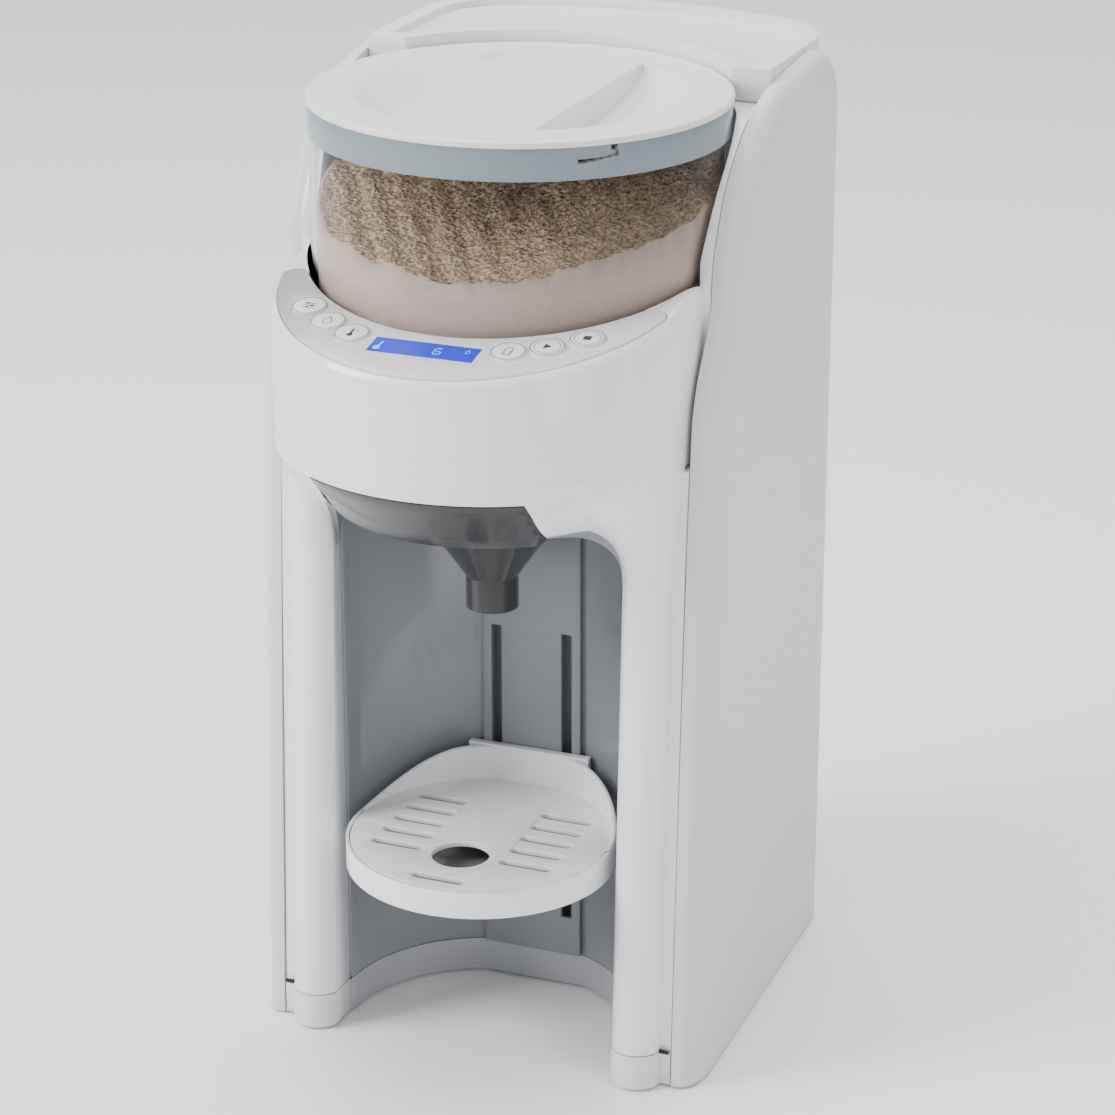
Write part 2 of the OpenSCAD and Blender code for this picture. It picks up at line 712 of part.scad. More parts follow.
module dosing_wheel() {
    color("orange") translate([0, hopper_y, hopper_z + floor_t + seam]) difference() {
        union() {
            cylinder(r = outlet_in + outlet_r + 4, h = wheel_t);
            translate([0, 0, -floor_t - seam]) cylinder(r = shaft_r + 3, h = floor_t + seam + eps);
            cylinder(r = 6, h = 16);
        }
        for (a = [0 : 60 : 300]) rotate(a) translate([0, -outlet_in, -1]) cylinder(r = 8, h = 10);
        translate([0, 0, -floor_t - seam - 1]) cylinder(r = shaft_r - 0.4 + fit, h = 9, $fn = 6);
    }
}
module stirrer() {
    color("orangered") translate([0, hopper_y, hopper_z + floor_t + seam + wheel_t + 1]) {
        tube(9, 6 + eps, 9);
        for (a = [0, 120, 240]) rotate(a) translate([8, -2, 0]) cube([hopper_r - hopper_wall - 17.8, 4, 3]);
    }
}
// Finger recess on the +X side of the lid: a round pocket cut off by the grip bar
module finger_recess(depth) {
    translate([0, 0, lid_top - depth]) linear_extrude(depth + 1) difference() {
        translate([0, hopper_y]) circle(hopper_r - 15);
        translate([-big + grip_half, -big / 2]) square([big, big]);
    }
}
module container_lid() {
    plug_r = hopper_r - hopper_wall - slip;
    color("ivory") difference() {
        union() {
            translate([0, hopper_y, collar_top + eps]) cylinder(r = lid_r, h = lid_flange - eps);
            translate([0, hopper_y, collar_top - grip_depth - 0.6]) cylinder(r = plug_r, h = grip_depth + 0.7);
        }
        // hollow under the grip bar
        intersection() {
            translate([0, hopper_y, collar_top - grip_depth - 2]) cylinder(r = plug_r - 2, h = grip_depth + 2);
            translate([-grip_half + 2, -big / 2, 0]) cube([2 * grip_half - 4, big, big]);
        }
        finger_recess(grip_depth);
        mirror([1, 0, 0]) finger_recess(grip_depth);
        // groove of the seal
        translate([0, hopper_y, collar_top - 5]) tube(plug_r + 1, plug_r - 1.2, 2.4);
    }
}
module lid_seal() {
    plug_r = hopper_r - hopper_wall - slip;
    color("lightgray") translate([0, hopper_y, collar_top - 4.9])
        tube(plug_r + slip - 0.1, plug_r - 1.1, 2.2);
}

// ---- dosing drive ----

// Spur gear with straight-sided teeth, thinner than half a pitch for backlash
module gear(teeth, t, bore, turn = 0) {
    r = gear_m * teeth / 2;
    step = 360 / teeth;
    root = r - 1.2 * gear_m;
    tip = r + 0.92 * gear_m;
    half = [0.31, 0.22, 0.1];
    at = [root, r, tip];
    linear_extrude(t) difference() {
        polygon([for (i = [0 : teeth - 1]) for (k = [-3, -2, -1, 1, 2, 3])
            let (j = 3 - abs(k), a = turn + step * (i + (k < 0 ? -1 : 1) * half[j] * r / at[j]))
            at[j] * [cos(a), sin(a)]]);
        circle(bore);
    }
}
module output_gear() {
    color("white") translate([0, hopper_y, gear_z]) gear(out_teeth, gear_t, shaft_r + fit, 90);
}
module idler_gear() {
    color("ivory") translate([0, idler_y, gear_z])
        gear(idler_teeth, gear_t, 2 + fit, -90 + 180 / idler_teeth);
}
module motor_pinion() {
    color("gold") translate([0, pinion_y, gear_z]) gear(pinion_teeth, gear_t, 1.2, -90 + (idler_teeth % 2) * 180 / pinion_teeth);
    color("silver") translate([0, pinion_y, ceiling_z - 3]) cylinder(r = 1.4, h = gear_z + gear_t - ceiling_z + 3);
}
module idler_pin() {
    color("silver") translate([0, idler_y, gear_z - 3]) cylinder(r = 2, h = gear_t + 6);
}
module drive_coupler() {
    low = ceiling_z + wall + 0.6;
    color("silver") translate([0, hopper_y, low]) {
        cylinder(r = shaft_r, h = hopper_z - seam - low);
        cylinder(r = shaft_r - 0.4, h = hopper_z - low + 5, $fn = 6);
    }
}
// Plate that carries the gears and hangs the motor
module gear_case() {
    color("gray") difference() {
        union() {
            translate([-17, hopper_y - 14, ceiling_z + wall + 0.3]) cube([34, pinion_y + 14 - hopper_y + 14, 2]);
            translate([0, idler_y, ceiling_z + wall + 0.3]) cylinder(r = 4, h = gear_z - ceiling_z - wall - 0.8);
        }
        translate([0, hopper_y, 0]) cylinder(r = shaft_r + fit, h = big);
        translate([0, idler_y, 0]) cylinder(r = 2 + eps * 2, h = big);
        translate([0, pinion_y, 0]) cylinder(r = 1.4 + 0.3, h = big);
        translate([0, nozzle_y, 0]) cylinder(r = nozzle_r + 0.3, h = big);
    }
}
module drive_motor() {
    color("silver") difference() {
        union() {
            translate([0, pinion_y, ceiling_z - 4 - motor_h]) cylinder(r = motor_r, h = motor_h);
            translate([0, pinion_y, ceiling_z - 4 - eps]) cylinder(r = 5, h = 2);
        }
        translate([0, pinion_y, ceiling_z - 10]) cylinder(r = 1.4 + fit, h = 30);
    }
}

// ---- control panel ----

// Crescent of the control panel in plan, with round ends
module band_plan(grow = 0) {
    outer = band_r + grow;
    inner = grow > 0 ? well_r - 1 : rim_r - grow;
    d1 = band_r - band_end;
    d2 = rim_r + band_end;
    cy = (d2 * d2 - d1 * d1 + band_y * band_y - hopper_y * hopper_y) / (2 * (band_y - hopper_y));
    cx = sqrt(d1 * d1 - (cy - band_y) * (cy - band_y));
    // where the end's circle meets the outer and the inner edge
    po = [cx, cy] + unit([cx, cy - band_y]) * (band_end + 6);
    pi = [cx, cy] - unit([cx, cy - hopper_y]) * (band_end + 6);
    difference() {
        union() {
            intersection() {
                translate([0, band_y]) circle(outer);
                polygon([pi, po, [big, -big], [-big, -big], [-po[0], po[1]], [-pi[0], pi[1]]]);
            }
            for (s = [-1, 1]) translate([s * cx, cy]) circle(max(band_end + grow - 0.02, 0.5));
        }
        translate([0, hopper_y]) circle(inner);
    }
}
// Place on the crescent at x; share 0 is its outer edge and 1 its inner edge
function on_band(x, share) =
    let (out = band_y - sqrt(band_r * band_r - x * x),
         rim = hopper_y - sqrt(rim_r * rim_r - x * x))
    [x, (out + share * (rim - out) - shelf_y) / cos(shelf_tilt)];
display_d = 9.7;
function display_y() = on_band(0, 0.64)[1];
module control_panel() {
    color("silver") difference() {
        intersection() {
            on_shelf() translate([0, 0, -panel_skin]) slab(0, panel_skin + 0.2);
            translate([0, 0, shelf_z - 60]) linear_extrude(120) band_plan();
        }
        for (x = button_x) on_shelf() translate(concat(on_band(x, 0.6), [-10]))
            cylinder(r = button_r + 0.25, h = 20);
        on_shelf() translate([-display_half - 0.2, display_y() - display_d / 2 - 0.2, -10])
            cube([2 * display_half + 0.4, display_d + 0.4, 20]);
    }
}
module display_window() {
    color("blue") on_shelf() translate([-display_half, display_y() - display_d / 2, -panel_skin])
        cube([2 * display_half, display_d, panel_skin + 0.2]);
}
module display_module() {
    color("darkgreen") on_shelf() translate([-display_half - 2, display_y() - 7, -panel_skin - seam - 4])
        cube([2 * display_half + 4, 14, 3.6]);
}
module control_board() {
    color("green") intersection() {
        on_shelf() translate([0, 0, -panel_skin - 9]) slab(0, 1.6);
        translate([0, 0, shelf_z - 90]) linear_extrude(200) band_plan(-6);
    }
}
module button(i) {
    color("white") on_shelf() translate(concat(on_band(button_x[i], 0.6), [-panel_skin - 4])) {
        cylinder(r = button_r, h = panel_skin + 4 + 0.8);
        cylinder(r = button_r + 0.3, h = 1.4);
    }
}
module setting_button() { button(0); }
module water_button() { button(1); }
module temperature_button() { button(2); }
module amount_button() { button(3); }
module start_button() { button(4); }
module stop_button() { button(5); }

// ---- water tank ----

tank_wall = 2.2;
valve_y = back_y - 33;
valve_r = 5;
socket_r = 11;
module tank_plan(inset = 0) {
    difference() {
        bowed(tank_half, tank_corner, tank_y0, inset);
        translate([0, hopper_y]) circle(notch_r + wall + slip + inset);
    }
}
module water_tank() {
    z0 = tank_shelf + seam;
    color("lightblue", 0.5) difference() {
        union() {
            difference() {
                translate([0, 0, z0]) linear_extrude(tank_top - z0) tank_plan();
                translate([0, 0, z0 + tank_wall]) linear_extrude(big) tank_plan(tank_wall);
            }
            // lugs of the lid's hinge
            for (s = [-1, 1]) translate([s * 15 - 1.5, hinge_y, hinge_z]) {
                rotate([0, 90, 0]) cylinder(r = 2.8, h = 3);
                translate([0, -2.8, -14]) cube([3, 5, 14]);
            }
        }
        translate([0, valve_y, z0 - 1]) cylinder(r = valve_r + 0.3, h = 10);
        translate([-30, hinge_y, hinge_z]) rotate([0, 90, 0]) cylinder(r = 1.5 + fit, h = 60);
    }
}
// Lid that closes the tank and the back of the head
module cap_plan(inset = 0) {
    difference() {
        bowed(shell_half, 34, cap_front, inset);
        translate([0, hopper_y]) circle(lid_r + 2 * slip + inset);
    }
}
cap_front = hopper_y + 43;
hinge_y = back_y - 4.2;
hinge_z = cap_z + 4.6;
module tank_lid() {
    color("ivory") difference() {
        translate([0, 0, cap_z]) linear_extrude(cap_h) cap_plan();
        // recessed top inside a raised rim
        translate([0, 0, body_h - 2.5]) linear_extrude(5) cap_plan(7);
        // hollow below, with a solid bar for the hinge
        difference() {
            translate([0, 0, cap_z - 1]) linear_extrude(cap_h - 5) cap_plan(3);
            translate([-26, hinge_y - 5, 0]) cube([52, 40, big]);
        }
        // rear edge rounded about the hinge
        difference() {
            translate([-big / 2, hinge_y, cap_z - 1]) cube([big, 40, hinge_z - cap_z + 1]);
            translate([-big / 2, hinge_y, hinge_z]) rotate([0, 90, 0])
                cylinder(r = back_y - hinge_y - 0.02, h = big);
        }
        for (s = [-1, 1]) translate([s * 15 - 2.1, hinge_y - 4, cap_z - 1])
            cube([4.2, 40, hinge_z - cap_z + 1 + 3.6]);
        translate([-24, hinge_y, hinge_z]) rotate([0, 90, 0]) cylinder(r = 1.5 + fit, h = 48);
    }
}
module tank_lid_pins() {
    color("silver") for (s = [-1, 1]) translate([s * 15 - 7, hinge_y, hinge_z]) rotate([0, 90, 0])
        cylinder(r = 1.5, h = 14);
}
module tank_valve() {
    color("white") translate([0, valve_y, tank_shelf + seam - 2]) {
        cylinder(r = valve_r, h = tank_wall + 4 + 0.1 + eps);
        translate([0, 0, tank_wall + 4.1]) cylinder(r = valve_r + 4, h = 2);
    }
}
module valve_seal() {
    color("dimgray") translate([0, valve_y, tank_shelf + seam + tank_wall]) tube(valve_r + 4, valve_r + 0.3, 2);
}
module valve_socket() {
    color("white") translate([0, valve_y, 4]) difference() {
        cylinder(r = socket_r, h = tank_shelf - 4 - 0.2);
        translate([0, 0, 6]) cylinder(r = socket_r - 2, h = 60);
    }
}

// ---- water works and electronics ----

works_y = (core_front + bay_y) / 2;
module water_heater() {
    color("silver") translate([-42, works_y, 110]) difference() {
        cylinder(r = 17, h = 78);
        translate([0, 0, -1]) cylinder(r = 12, h = 60);
    }
}
module heater_bracket() {
    color("gray") for (z = [122, 168]) translate([-42, works_y, z]) tube(19, 17 + eps, 8);
}
module water_pump() {
    color("dimgray") translate([42, works_y, 60]) {
        cylinder(r = 15, h = 34);
        translate([0, 0, 34 - eps]) cylinder(r = 11, h = 22);
    }
}
module water_tubes() {
    color("white") {
        translate([42, works_y, base_h + 8]) cylinder(r = 3, h = 52 - base_h - 0.01);
        translate([-42, works_y, 188.01]) cylinder(r = 3, h = 24);
    }
}
module water_nozzle() {
    color("white") translate([0, nozzle_y, ceiling_z - 4]) tube(nozzle_r, nozzle_r - 1, wall + 8);
}
module main_board() {
    color("green") translate([-30, bay_y - 6, 40]) cube([60, 1.6, 90]);
}
inlet_w = 24;
inlet_h = 11;
inlet_x = 0;
inlet_z = 11;
module power_inlet() {
    color("black") translate([inlet_x, back_y - 6, inlet_z]) rotate([90, 0, 0])
        translate([0, 0, -5.6]) difference() {
            linear_extrude(14) rounded(inlet_w, inlet_h, 4);
            translate([0, 0, -1]) linear_extrude(11) rounded(inlet_w - 4, inlet_h - 4, 2.5);
        }
}

base_frame();
rubber_feet();
base_screws();
front_shell();
left_side_panel();
right_side_panel();
rear_cover();
cover_screws();
niche_insert();
tray_body();
tray_cover();
funnel();
funnel_rails();
hopper_dock();
outlet_seal();
powder_container();
container_collar();
container_floor();
container_lid();
lid_seal();
dosing_wheel();
stirrer();
drive_coupler();
output_gear();
idler_gear();
idler_pin();
motor_pinion();
drive_motor();
gear_case();
control_panel();
display_window();
display_module();
control_board();
setting_button();
water_button();
temperature_button();
amount_button();
start_button();
stop_button();
water_tank();
tank_lid();
tank_lid_pins();
tank_valve();
valve_seal();
valve_socket();
water_pump();
water_heater();
heater_bracket();
water_tubes();
water_nozzle();
main_board();
power_inlet();
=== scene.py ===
import json
import math

import bpy
import numpy as np
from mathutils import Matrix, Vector


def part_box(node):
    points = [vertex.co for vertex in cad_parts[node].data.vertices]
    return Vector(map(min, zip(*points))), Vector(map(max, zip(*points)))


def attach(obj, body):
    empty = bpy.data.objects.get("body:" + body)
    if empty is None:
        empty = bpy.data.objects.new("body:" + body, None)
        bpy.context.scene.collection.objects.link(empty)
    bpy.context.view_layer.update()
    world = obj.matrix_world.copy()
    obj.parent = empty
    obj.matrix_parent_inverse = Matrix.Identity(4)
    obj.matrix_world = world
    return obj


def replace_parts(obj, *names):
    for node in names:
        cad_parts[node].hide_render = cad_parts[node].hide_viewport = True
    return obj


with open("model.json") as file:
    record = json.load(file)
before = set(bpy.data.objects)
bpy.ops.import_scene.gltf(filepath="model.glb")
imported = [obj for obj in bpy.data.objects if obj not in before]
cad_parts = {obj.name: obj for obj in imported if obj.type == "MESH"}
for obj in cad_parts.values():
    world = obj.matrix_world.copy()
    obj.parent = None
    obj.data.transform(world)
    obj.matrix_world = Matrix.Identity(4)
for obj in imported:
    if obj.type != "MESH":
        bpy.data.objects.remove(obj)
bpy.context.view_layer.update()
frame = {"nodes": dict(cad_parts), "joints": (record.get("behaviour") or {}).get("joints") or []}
rng = np.random.default_rng(7)

# ---------------------------------------------------------------- measures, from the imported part
def node_box(node):
    """Lower and upper corner of a CAD node's box, in metres."""
    lo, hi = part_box(node)
    return np.array(lo), np.array(hi)


CON_LO, CON_HI = node_box("powder_container")
PAN_LO, PAN_HI = node_box("right_side_panel")
SHE_LO, SHE_HI = node_box("front_shell")
TRAY_LO, TRAY_HI = node_box("tray_body")
LID_HI = node_box("container_lid")[1]
COVER_TOP = float(node_box("tray_cover")[1][2])
FUNNEL_HALF = float(node_box("funnel")[1][0])
HOP_Y = float(CON_LO[1] + CON_HI[1]) / 2
CON_R = float(CON_HI[0])
LID_R = float(LID_HI[0])
LID_TOP = float(LID_HI[2])
HEAD_R = float(SHE_HI[0]) - 0.0015                 # round wall of the head
HEAD_Y = float(SHE_LO[1]) + HEAD_R
NICHE_Y = -0.054                                   # axis of the niche
NOSE_X, NOSE_Y, NOSE_R = 0.0637, -0.0628, 0.0092   # round nose of a pillar, at the foot
LEAN = math.tan(math.radians(2.5))                 # how far the noses lean back with height
PRESS = next(j for j in frame["joints"] if j["name"] == "start_press")
NORMAL = np.array([-c for c in PRESS["axis"]])     # of the tilted control strip
TILT = math.atan2(-NORMAL[1], NORMAL[2])


# ---------------------------------------------------------------- small mesh tools
def mesh_piece(name, verts, faces, mat, body, smooth=True):
    """One mesh object at the origin from points in metres, moving with a CAD body."""
    me = bpy.data.meshes.new(name)
    faces = faces.tolist() if isinstance(faces, np.ndarray) else faces
    me.from_pydata(np.asarray(verts, float).tolist(), [], faces)
    me.validate()
    me.update()
    ob = bpy.data.objects.new(name, me)
    bpy.context.scene.collection.objects.link(ob)
    me.polygons.foreach_set("use_smooth", np.full(len(me.polygons), smooth))
    me.materials.append(mat)
    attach(ob, body)
    return ob


def grid_faces(rows, cols, wrap_rows=False, wrap_cols=False):
    """Quads over a grid of rows x cols points, as an array of corner numbers."""
    i = np.arange(rows if wrap_rows else rows - 1)[:, None]
    j = np.arange(cols if wrap_cols else cols - 1)[None, :]
    here, below = i * cols, (i + 1) % rows * cols
    right = (j + 1) % cols
    return np.stack([here + j, here + right, below + right, below + j], -1).reshape(-1, 4)


def turned(profile, steps, centre):
    """Surface swept by turning a profile of (radius, height) points about a vertical axis."""
    r, z = np.asarray(profile, float).T
    a = 2 * np.pi * np.arange(steps)[:, None] / steps
    g = np.stack(np.broadcast_arrays(centre[0] + r * np.cos(a), centre[1] + r * np.sin(a), z), -1)
    return g.reshape(-1, 3), grid_faces(steps, len(r), wrap_rows=True)


def split_sharp(ob, angle):
    """Shades smooth only across edges flatter than an angle in degrees."""
    s = ob.modifiers.new("sharp edges", "EDGE_SPLIT")
    s.split_angle = math.radians(angle)


def edge_soften(ob, width=0.0, angle=35):
    """Merges the CAD mesh's split points, rounds its sharp edges and shades it smooth between them."""
    ob.data.polygons.foreach_set("use_smooth", np.full(len(ob.data.polygons), True))
    w = ob.modifiers.new("weld", "WELD")
    w.merge_threshold = 1e-6
    if width:
        b = ob.modifiers.new("rounded edges", "BEVEL")
        b.width = width
        b.segments = 3
        b.limit_method = "ANGLE"
        b.angle_limit = math.radians(angle)
        b.use_clamp_overlap = True
        b.miter_outer = "MITER_ARC"
    split_sharp(ob, angle)


# ---------------------------------------------------------------- materials
def group(name, inputs, outputs):
    """New node group with its sockets: (name, kind, default) in and (name, kind) out."""
    g = bpy.data.node_groups.new(name, "ShaderNodeTree")
    for n, kind, value in inputs:
        s = g.interface.new_socket(n, in_out="INPUT", socket_type=kind)
        if value is not None:
            s.default_value = value
    for n, kind in outputs:
        g.interface.new_socket(n, in_out="OUTPUT", socket_type=kind)
    return g, g.nodes.new("NodeGroupInput"), g.nodes.new("NodeGroupOutput")


def moulded_group():
    """Mould texture: broad drift of tone, fine grain in the gloss and a faint orange-peel normal."""
    g, gi, go = group(
        "moulded surface",
        [("Grain", "NodeSocketFloat", 900.0), ("Depth", "NodeSocketFloat", 0.05),
         ("Rough", "NodeSocketFloat", 0.3), ("Color", "NodeSocketColor", (1, 1, 1, 1)),
         ("Drift", "NodeSocketFloat", 0.04)],
        [("Color", "NodeSocketColor"), ("Roughness", "NodeSocketFloat"),
         ("Normal", "NodeSocketVector")])
    nt, ln = g.nodes, g.links
    co = nt.new("ShaderNodeTexCoord")
    fine = nt.new("ShaderNodeTexNoise")
    fine.inputs["Detail"].default_value = 3
    ln.new(co.outputs["Object"], fine.inputs["Vector"])
    ln.new(gi.outputs["Grain"], fine.inputs["Scale"])
    broad = nt.new("ShaderNodeTexNoise")
    broad.inputs["Scale"].default_value = 14
    broad.inputs["Detail"].default_value = 2
    ln.new(co.outputs["Object"], broad.inputs["Vector"])
    bump = nt.new("ShaderNodeBump")
    bump.inputs["Distance"].default_value = 0.0002
    ln.new(gi.outputs["Depth"], bump.inputs["Strength"])
    ln.new(fine.outputs["Fac"], bump.inputs["Height"])
    ln.new(bump.outputs["Normal"], go.inputs["Normal"])
    off = nt.new("ShaderNodeMath")
    off.operation = "SUBTRACT"
    off.inputs[1].default_value = 0.5
    ln.new(broad.outputs["Fac"], off.inputs[0])
    mul = nt.new("ShaderNodeMath")
    mul.operation = "MULTIPLY"
    ln.new(off.outputs[0], mul.inputs[0])
    ln.new(gi.outputs["Drift"], mul.inputs[1])
    one = nt.new("ShaderNodeMath")
    one.inputs[1].default_value = 1.0
    ln.new(mul.outputs[0], one.inputs[0])
    hue = nt.new("ShaderNodeHueSaturation")
    ln.new(one.outputs[0], hue.inputs["Value"])
    ln.new(gi.outputs["Color"], hue.inputs["Color"])
    ln.new(hue.outputs["Color"], go.inputs["Color"])
    rg = nt.new("ShaderNodeMath")
    rg.operation = "MULTIPLY_ADD"
    rg.inputs[1].default_value = 0.08
    ln.new(fine.outputs["Fac"], rg.inputs[0])
    ln.new(gi.outputs["Rough"], rg.inputs[2])
    ln.new(rg.outputs[0], go.inputs["Roughness"])
    return g


MOULDED = moulded_group()


def material(name):
    """Empty material with a Principled shader on its output."""
    m = bpy.data.materials.new(name)
    m.use_nodes = True
    nt = m.node_tree
    nt.nodes.clear()
    out = nt.nodes.new("ShaderNodeOutputMaterial")
    bs = nt.nodes.new("ShaderNodeBsdfPrincipled")
    nt.links.new(bs.outputs[0], out.inputs["Surface"])
    return m, nt, bs


def plastic(name, color, rough=0.3, grain=900.0, depth=0.05, drift=0.04, coat=0.0, metal=0.0,
            ior=1.46, clear=0.0):
    """Moulded plastic, metal or rubber with the shared mould texture on its gloss, tone and normal."""
    m, nt, bs = material(name)
    g = nt.nodes.new("ShaderNodeGroup")
    g.node_tree = MOULDED
    g.inputs["Grain"].default_value = grain
    g.inputs["Depth"].default_value = depth
    g.inputs["Rough"].default_value = rough - 0.04
    g.inputs["Drift"].default_value = drift
    g.inputs["Color"].default_value = (*color, 1)
    nt.links.new(g.outputs["Color"], bs.inputs["Base Color"])
    nt.links.new(g.outputs["Roughness"], bs.inputs["Roughness"])
    nt.links.new(g.outputs["Normal"], bs.inputs["Normal"])
    bs.inputs["Metallic"].default_value = metal
    bs.inputs["IOR"].default_value = ior
    bs.inputs["Coat Weight"].default_value = coat
    bs.inputs["Coat Roughness"].default_value = 0.08
    bs.inputs["Transmission Weight"].default_value = clear
    return m


M = {
    "shell": plastic("gloss white shell", (0.83, 0.84, 0.86), 0.24, 500, 0.02, 0.02, coat=0.5),
    "panel": plastic("satin side panel", (0.66, 0.66, 0.67), 0.42, 1500, 0.10, 0.02),
    "base": plastic("satin base", (0.72, 0.73, 0.74), 0.36, 1200, 0.06, 0.02),
    "cover": plastic("satin rear cover", (0.7, 0.7, 0.71), 0.42, 1400, 0.10, 0.02),
    # painted shade: the niche's light plastic coloured dark grey to stand in for the shade inside the niche
    "niche": plastic("niche plastic with painted shade", (0.23, 0.24, 0.26), 0.34, 900, 0.04, 0.02),
    "lid": plastic("cream lid", (0.77, 0.76, 0.73), 0.38, 1400, 0.05, 0.02),
    "cap": plastic("cream tank cap", (0.77, 0.76, 0.73), 0.4, 1400, 0.06, 0.02),
    "tray": plastic("gloss tray", (0.84, 0.85, 0.86), 0.26, 700, 0.03, 0.02, coat=0.3),
    "works": plastic("natural nylon", (0.72, 0.7, 0.63), 0.45, 900, 0.08, 0.05),
    "gear": plastic("acetal gears", (0.82, 0.78, 0.66), 0.4, 1100, 0.06, 0.04),
    "rubber": plastic("grey rubber", (0.2, 0.2, 0.21), 0.75, 1500, 0.3, 0.06),
    "seal": plastic("silicone seal", (0.55, 0.56, 0.57), 0.6, 900, 0.1, 0.04),
    "hose": plastic("silicone hose", (0.75, 0.76, 0.76), 0.4, 500, 0.05, 0.04),
    "steel": plastic("brushed steel", (0.6, 0.6, 0.61), 0.3, 2500, 0.15, 0.05, metal=1.0),
    "motor": plastic("zinc motor can", (0.55, 0.55, 0.57), 0.38, 1500, 0.1, 0.05, metal=1.0),
    "board": plastic("green board", (0.02, 0.16, 0.06), 0.35, 1800, 0.15, 0.2),
    "black": plastic("black plastic", (0.015, 0.015, 0.016), 0.4, 1200, 0.12, 0.1),
    "smoke": plastic("smoke grey funnel", (0.055, 0.057, 0.06), 0.12, 500, 0.02, 0.02,
                     ior=1.3, clear=0.3),
    "collar": plastic("blue grey collar", (0.36, 0.43, 0.475), 0.16, 500, 0.02, 0.02,
                      ior=1.3, clear=0.45),
    "key": plastic("white keys", (0.8, 0.8, 0.81), 0.33, 900, 0.04, 0.02),
    "ink": plastic("grey print", (0.04, 0.04, 0.045), 0.5, 900, 0.05, 0.05),
    # painted shadow: flat near-black standing in for the shade inside seams and gaps
    "painted_gap_shadow": plastic("painted gap shadow", (0.012, 0.012, 0.013), 0.6, 900, 0.05, 0.05),
    "line": plastic("key outline", (0.03, 0.03, 0.032), 0.45, 900, 0.05, 0.05),
}


def mask(nt, value, lo, hi):
    """1 where a value is under lo, falling to 0 at hi."""
    mr = nt.nodes.new("ShaderNodeMapRange")
    mr.inputs["From Min"].default_value = lo
    mr.inputs["From Max"].default_value = hi
    mr.inputs["To Min"].default_value = 1
    mr.inputs["To Max"].default_value = 0
    nt.links.new(value, mr.inputs["Value"])
    return mr.outputs["Result"]


def painted_shade_patch(mat, axis_y, radius, height, colour, soft=0.0004):
    """Paints shade into a material's colour: recolours what lies inside an upright cylinder and under a
    height, such as a niche's inside, with a darker colour.
    The distance from the axis is the length of the plan vector from it."""
    nt = mat.node_tree
    g = next(n for n in nt.nodes if n.type == "GROUP")
    old = tuple(g.inputs["Color"].default_value)
    co = nt.nodes.new("ShaderNodeTexCoord")
    mp = nt.nodes.new("ShaderNodeMapping")
    mp.inputs["Location"].default_value = (0, -axis_y, 0)
    nt.links.new(co.outputs["Object"], mp.inputs["Vector"])
    sep = nt.nodes.new("ShaderNodeSeparateXYZ")
    nt.links.new(mp.outputs["Vector"], sep.inputs[0])
    flat = nt.nodes.new("ShaderNodeCombineXYZ")
    nt.links.new(sep.outputs["X"], flat.inputs["X"])
    nt.links.new(sep.outputs["Y"], flat.inputs["Y"])
    ln = nt.nodes.new("ShaderNodeVectorMath")
    ln.operation = "LENGTH"
    nt.links.new(flat.outputs[0], ln.inputs[0])
    a = mask(nt, ln.outputs["Value"], radius - soft, radius + soft)
    b = mask(nt, sep.outputs["Z"], height - soft, height + soft)
    both = nt.nodes.new("ShaderNodeMath")
    both.operation = "MULTIPLY"
    nt.links.new(a, both.inputs[0])
    nt.links.new(b, both.inputs[1])
    mix = nt.nodes.new("ShaderNodeMix")
    mix.data_type = "RGBA"
    mix.inputs["A"].default_value = old
    mix.inputs["B"].default_value = (*colour, 1)
    nt.links.new(both.outputs[0], mix.inputs["Factor"])
    nt.links.new(mix.outputs["Result"], g.inputs["Color"])


def clear_plastic(name, color, rough):
    """Clear moulded plastic whose gloss drifts slightly over the surface."""
    m, nt, bs = material(name)
    bs.inputs["Base Color"].default_value = (*color, 1)
    bs.inputs["Metallic"].default_value = 0.0
    bs.inputs["Transmission Weight"].default_value = 1.0
    bs.inputs["IOR"].default_value = 1.12
    co = nt.nodes.new("ShaderNodeTexCoord")
    no = nt.nodes.new("ShaderNodeTexNoise")
    no.inputs["Scale"].default_value = 60
    nt.links.new(co.outputs["Object"], no.inputs["Vector"])
    mr = nt.nodes.new("ShaderNodeMapRange")
    mr.inputs["To Min"].default_value = rough
    mr.inputs["To Max"].default_value = rough + 0.03
    nt.links.new(no.outputs["Fac"], mr.inputs["Value"])
    nt.links.new(mr.outputs["Result"], bs.inputs["Roughness"])
    return m


M["clear"] = clear_plastic("clear hopper", (0.97, 0.96, 0.96), 0.01)
M["tank"] = clear_plastic("clear tank", (0.8, 0.86, 0.9), 0.08)


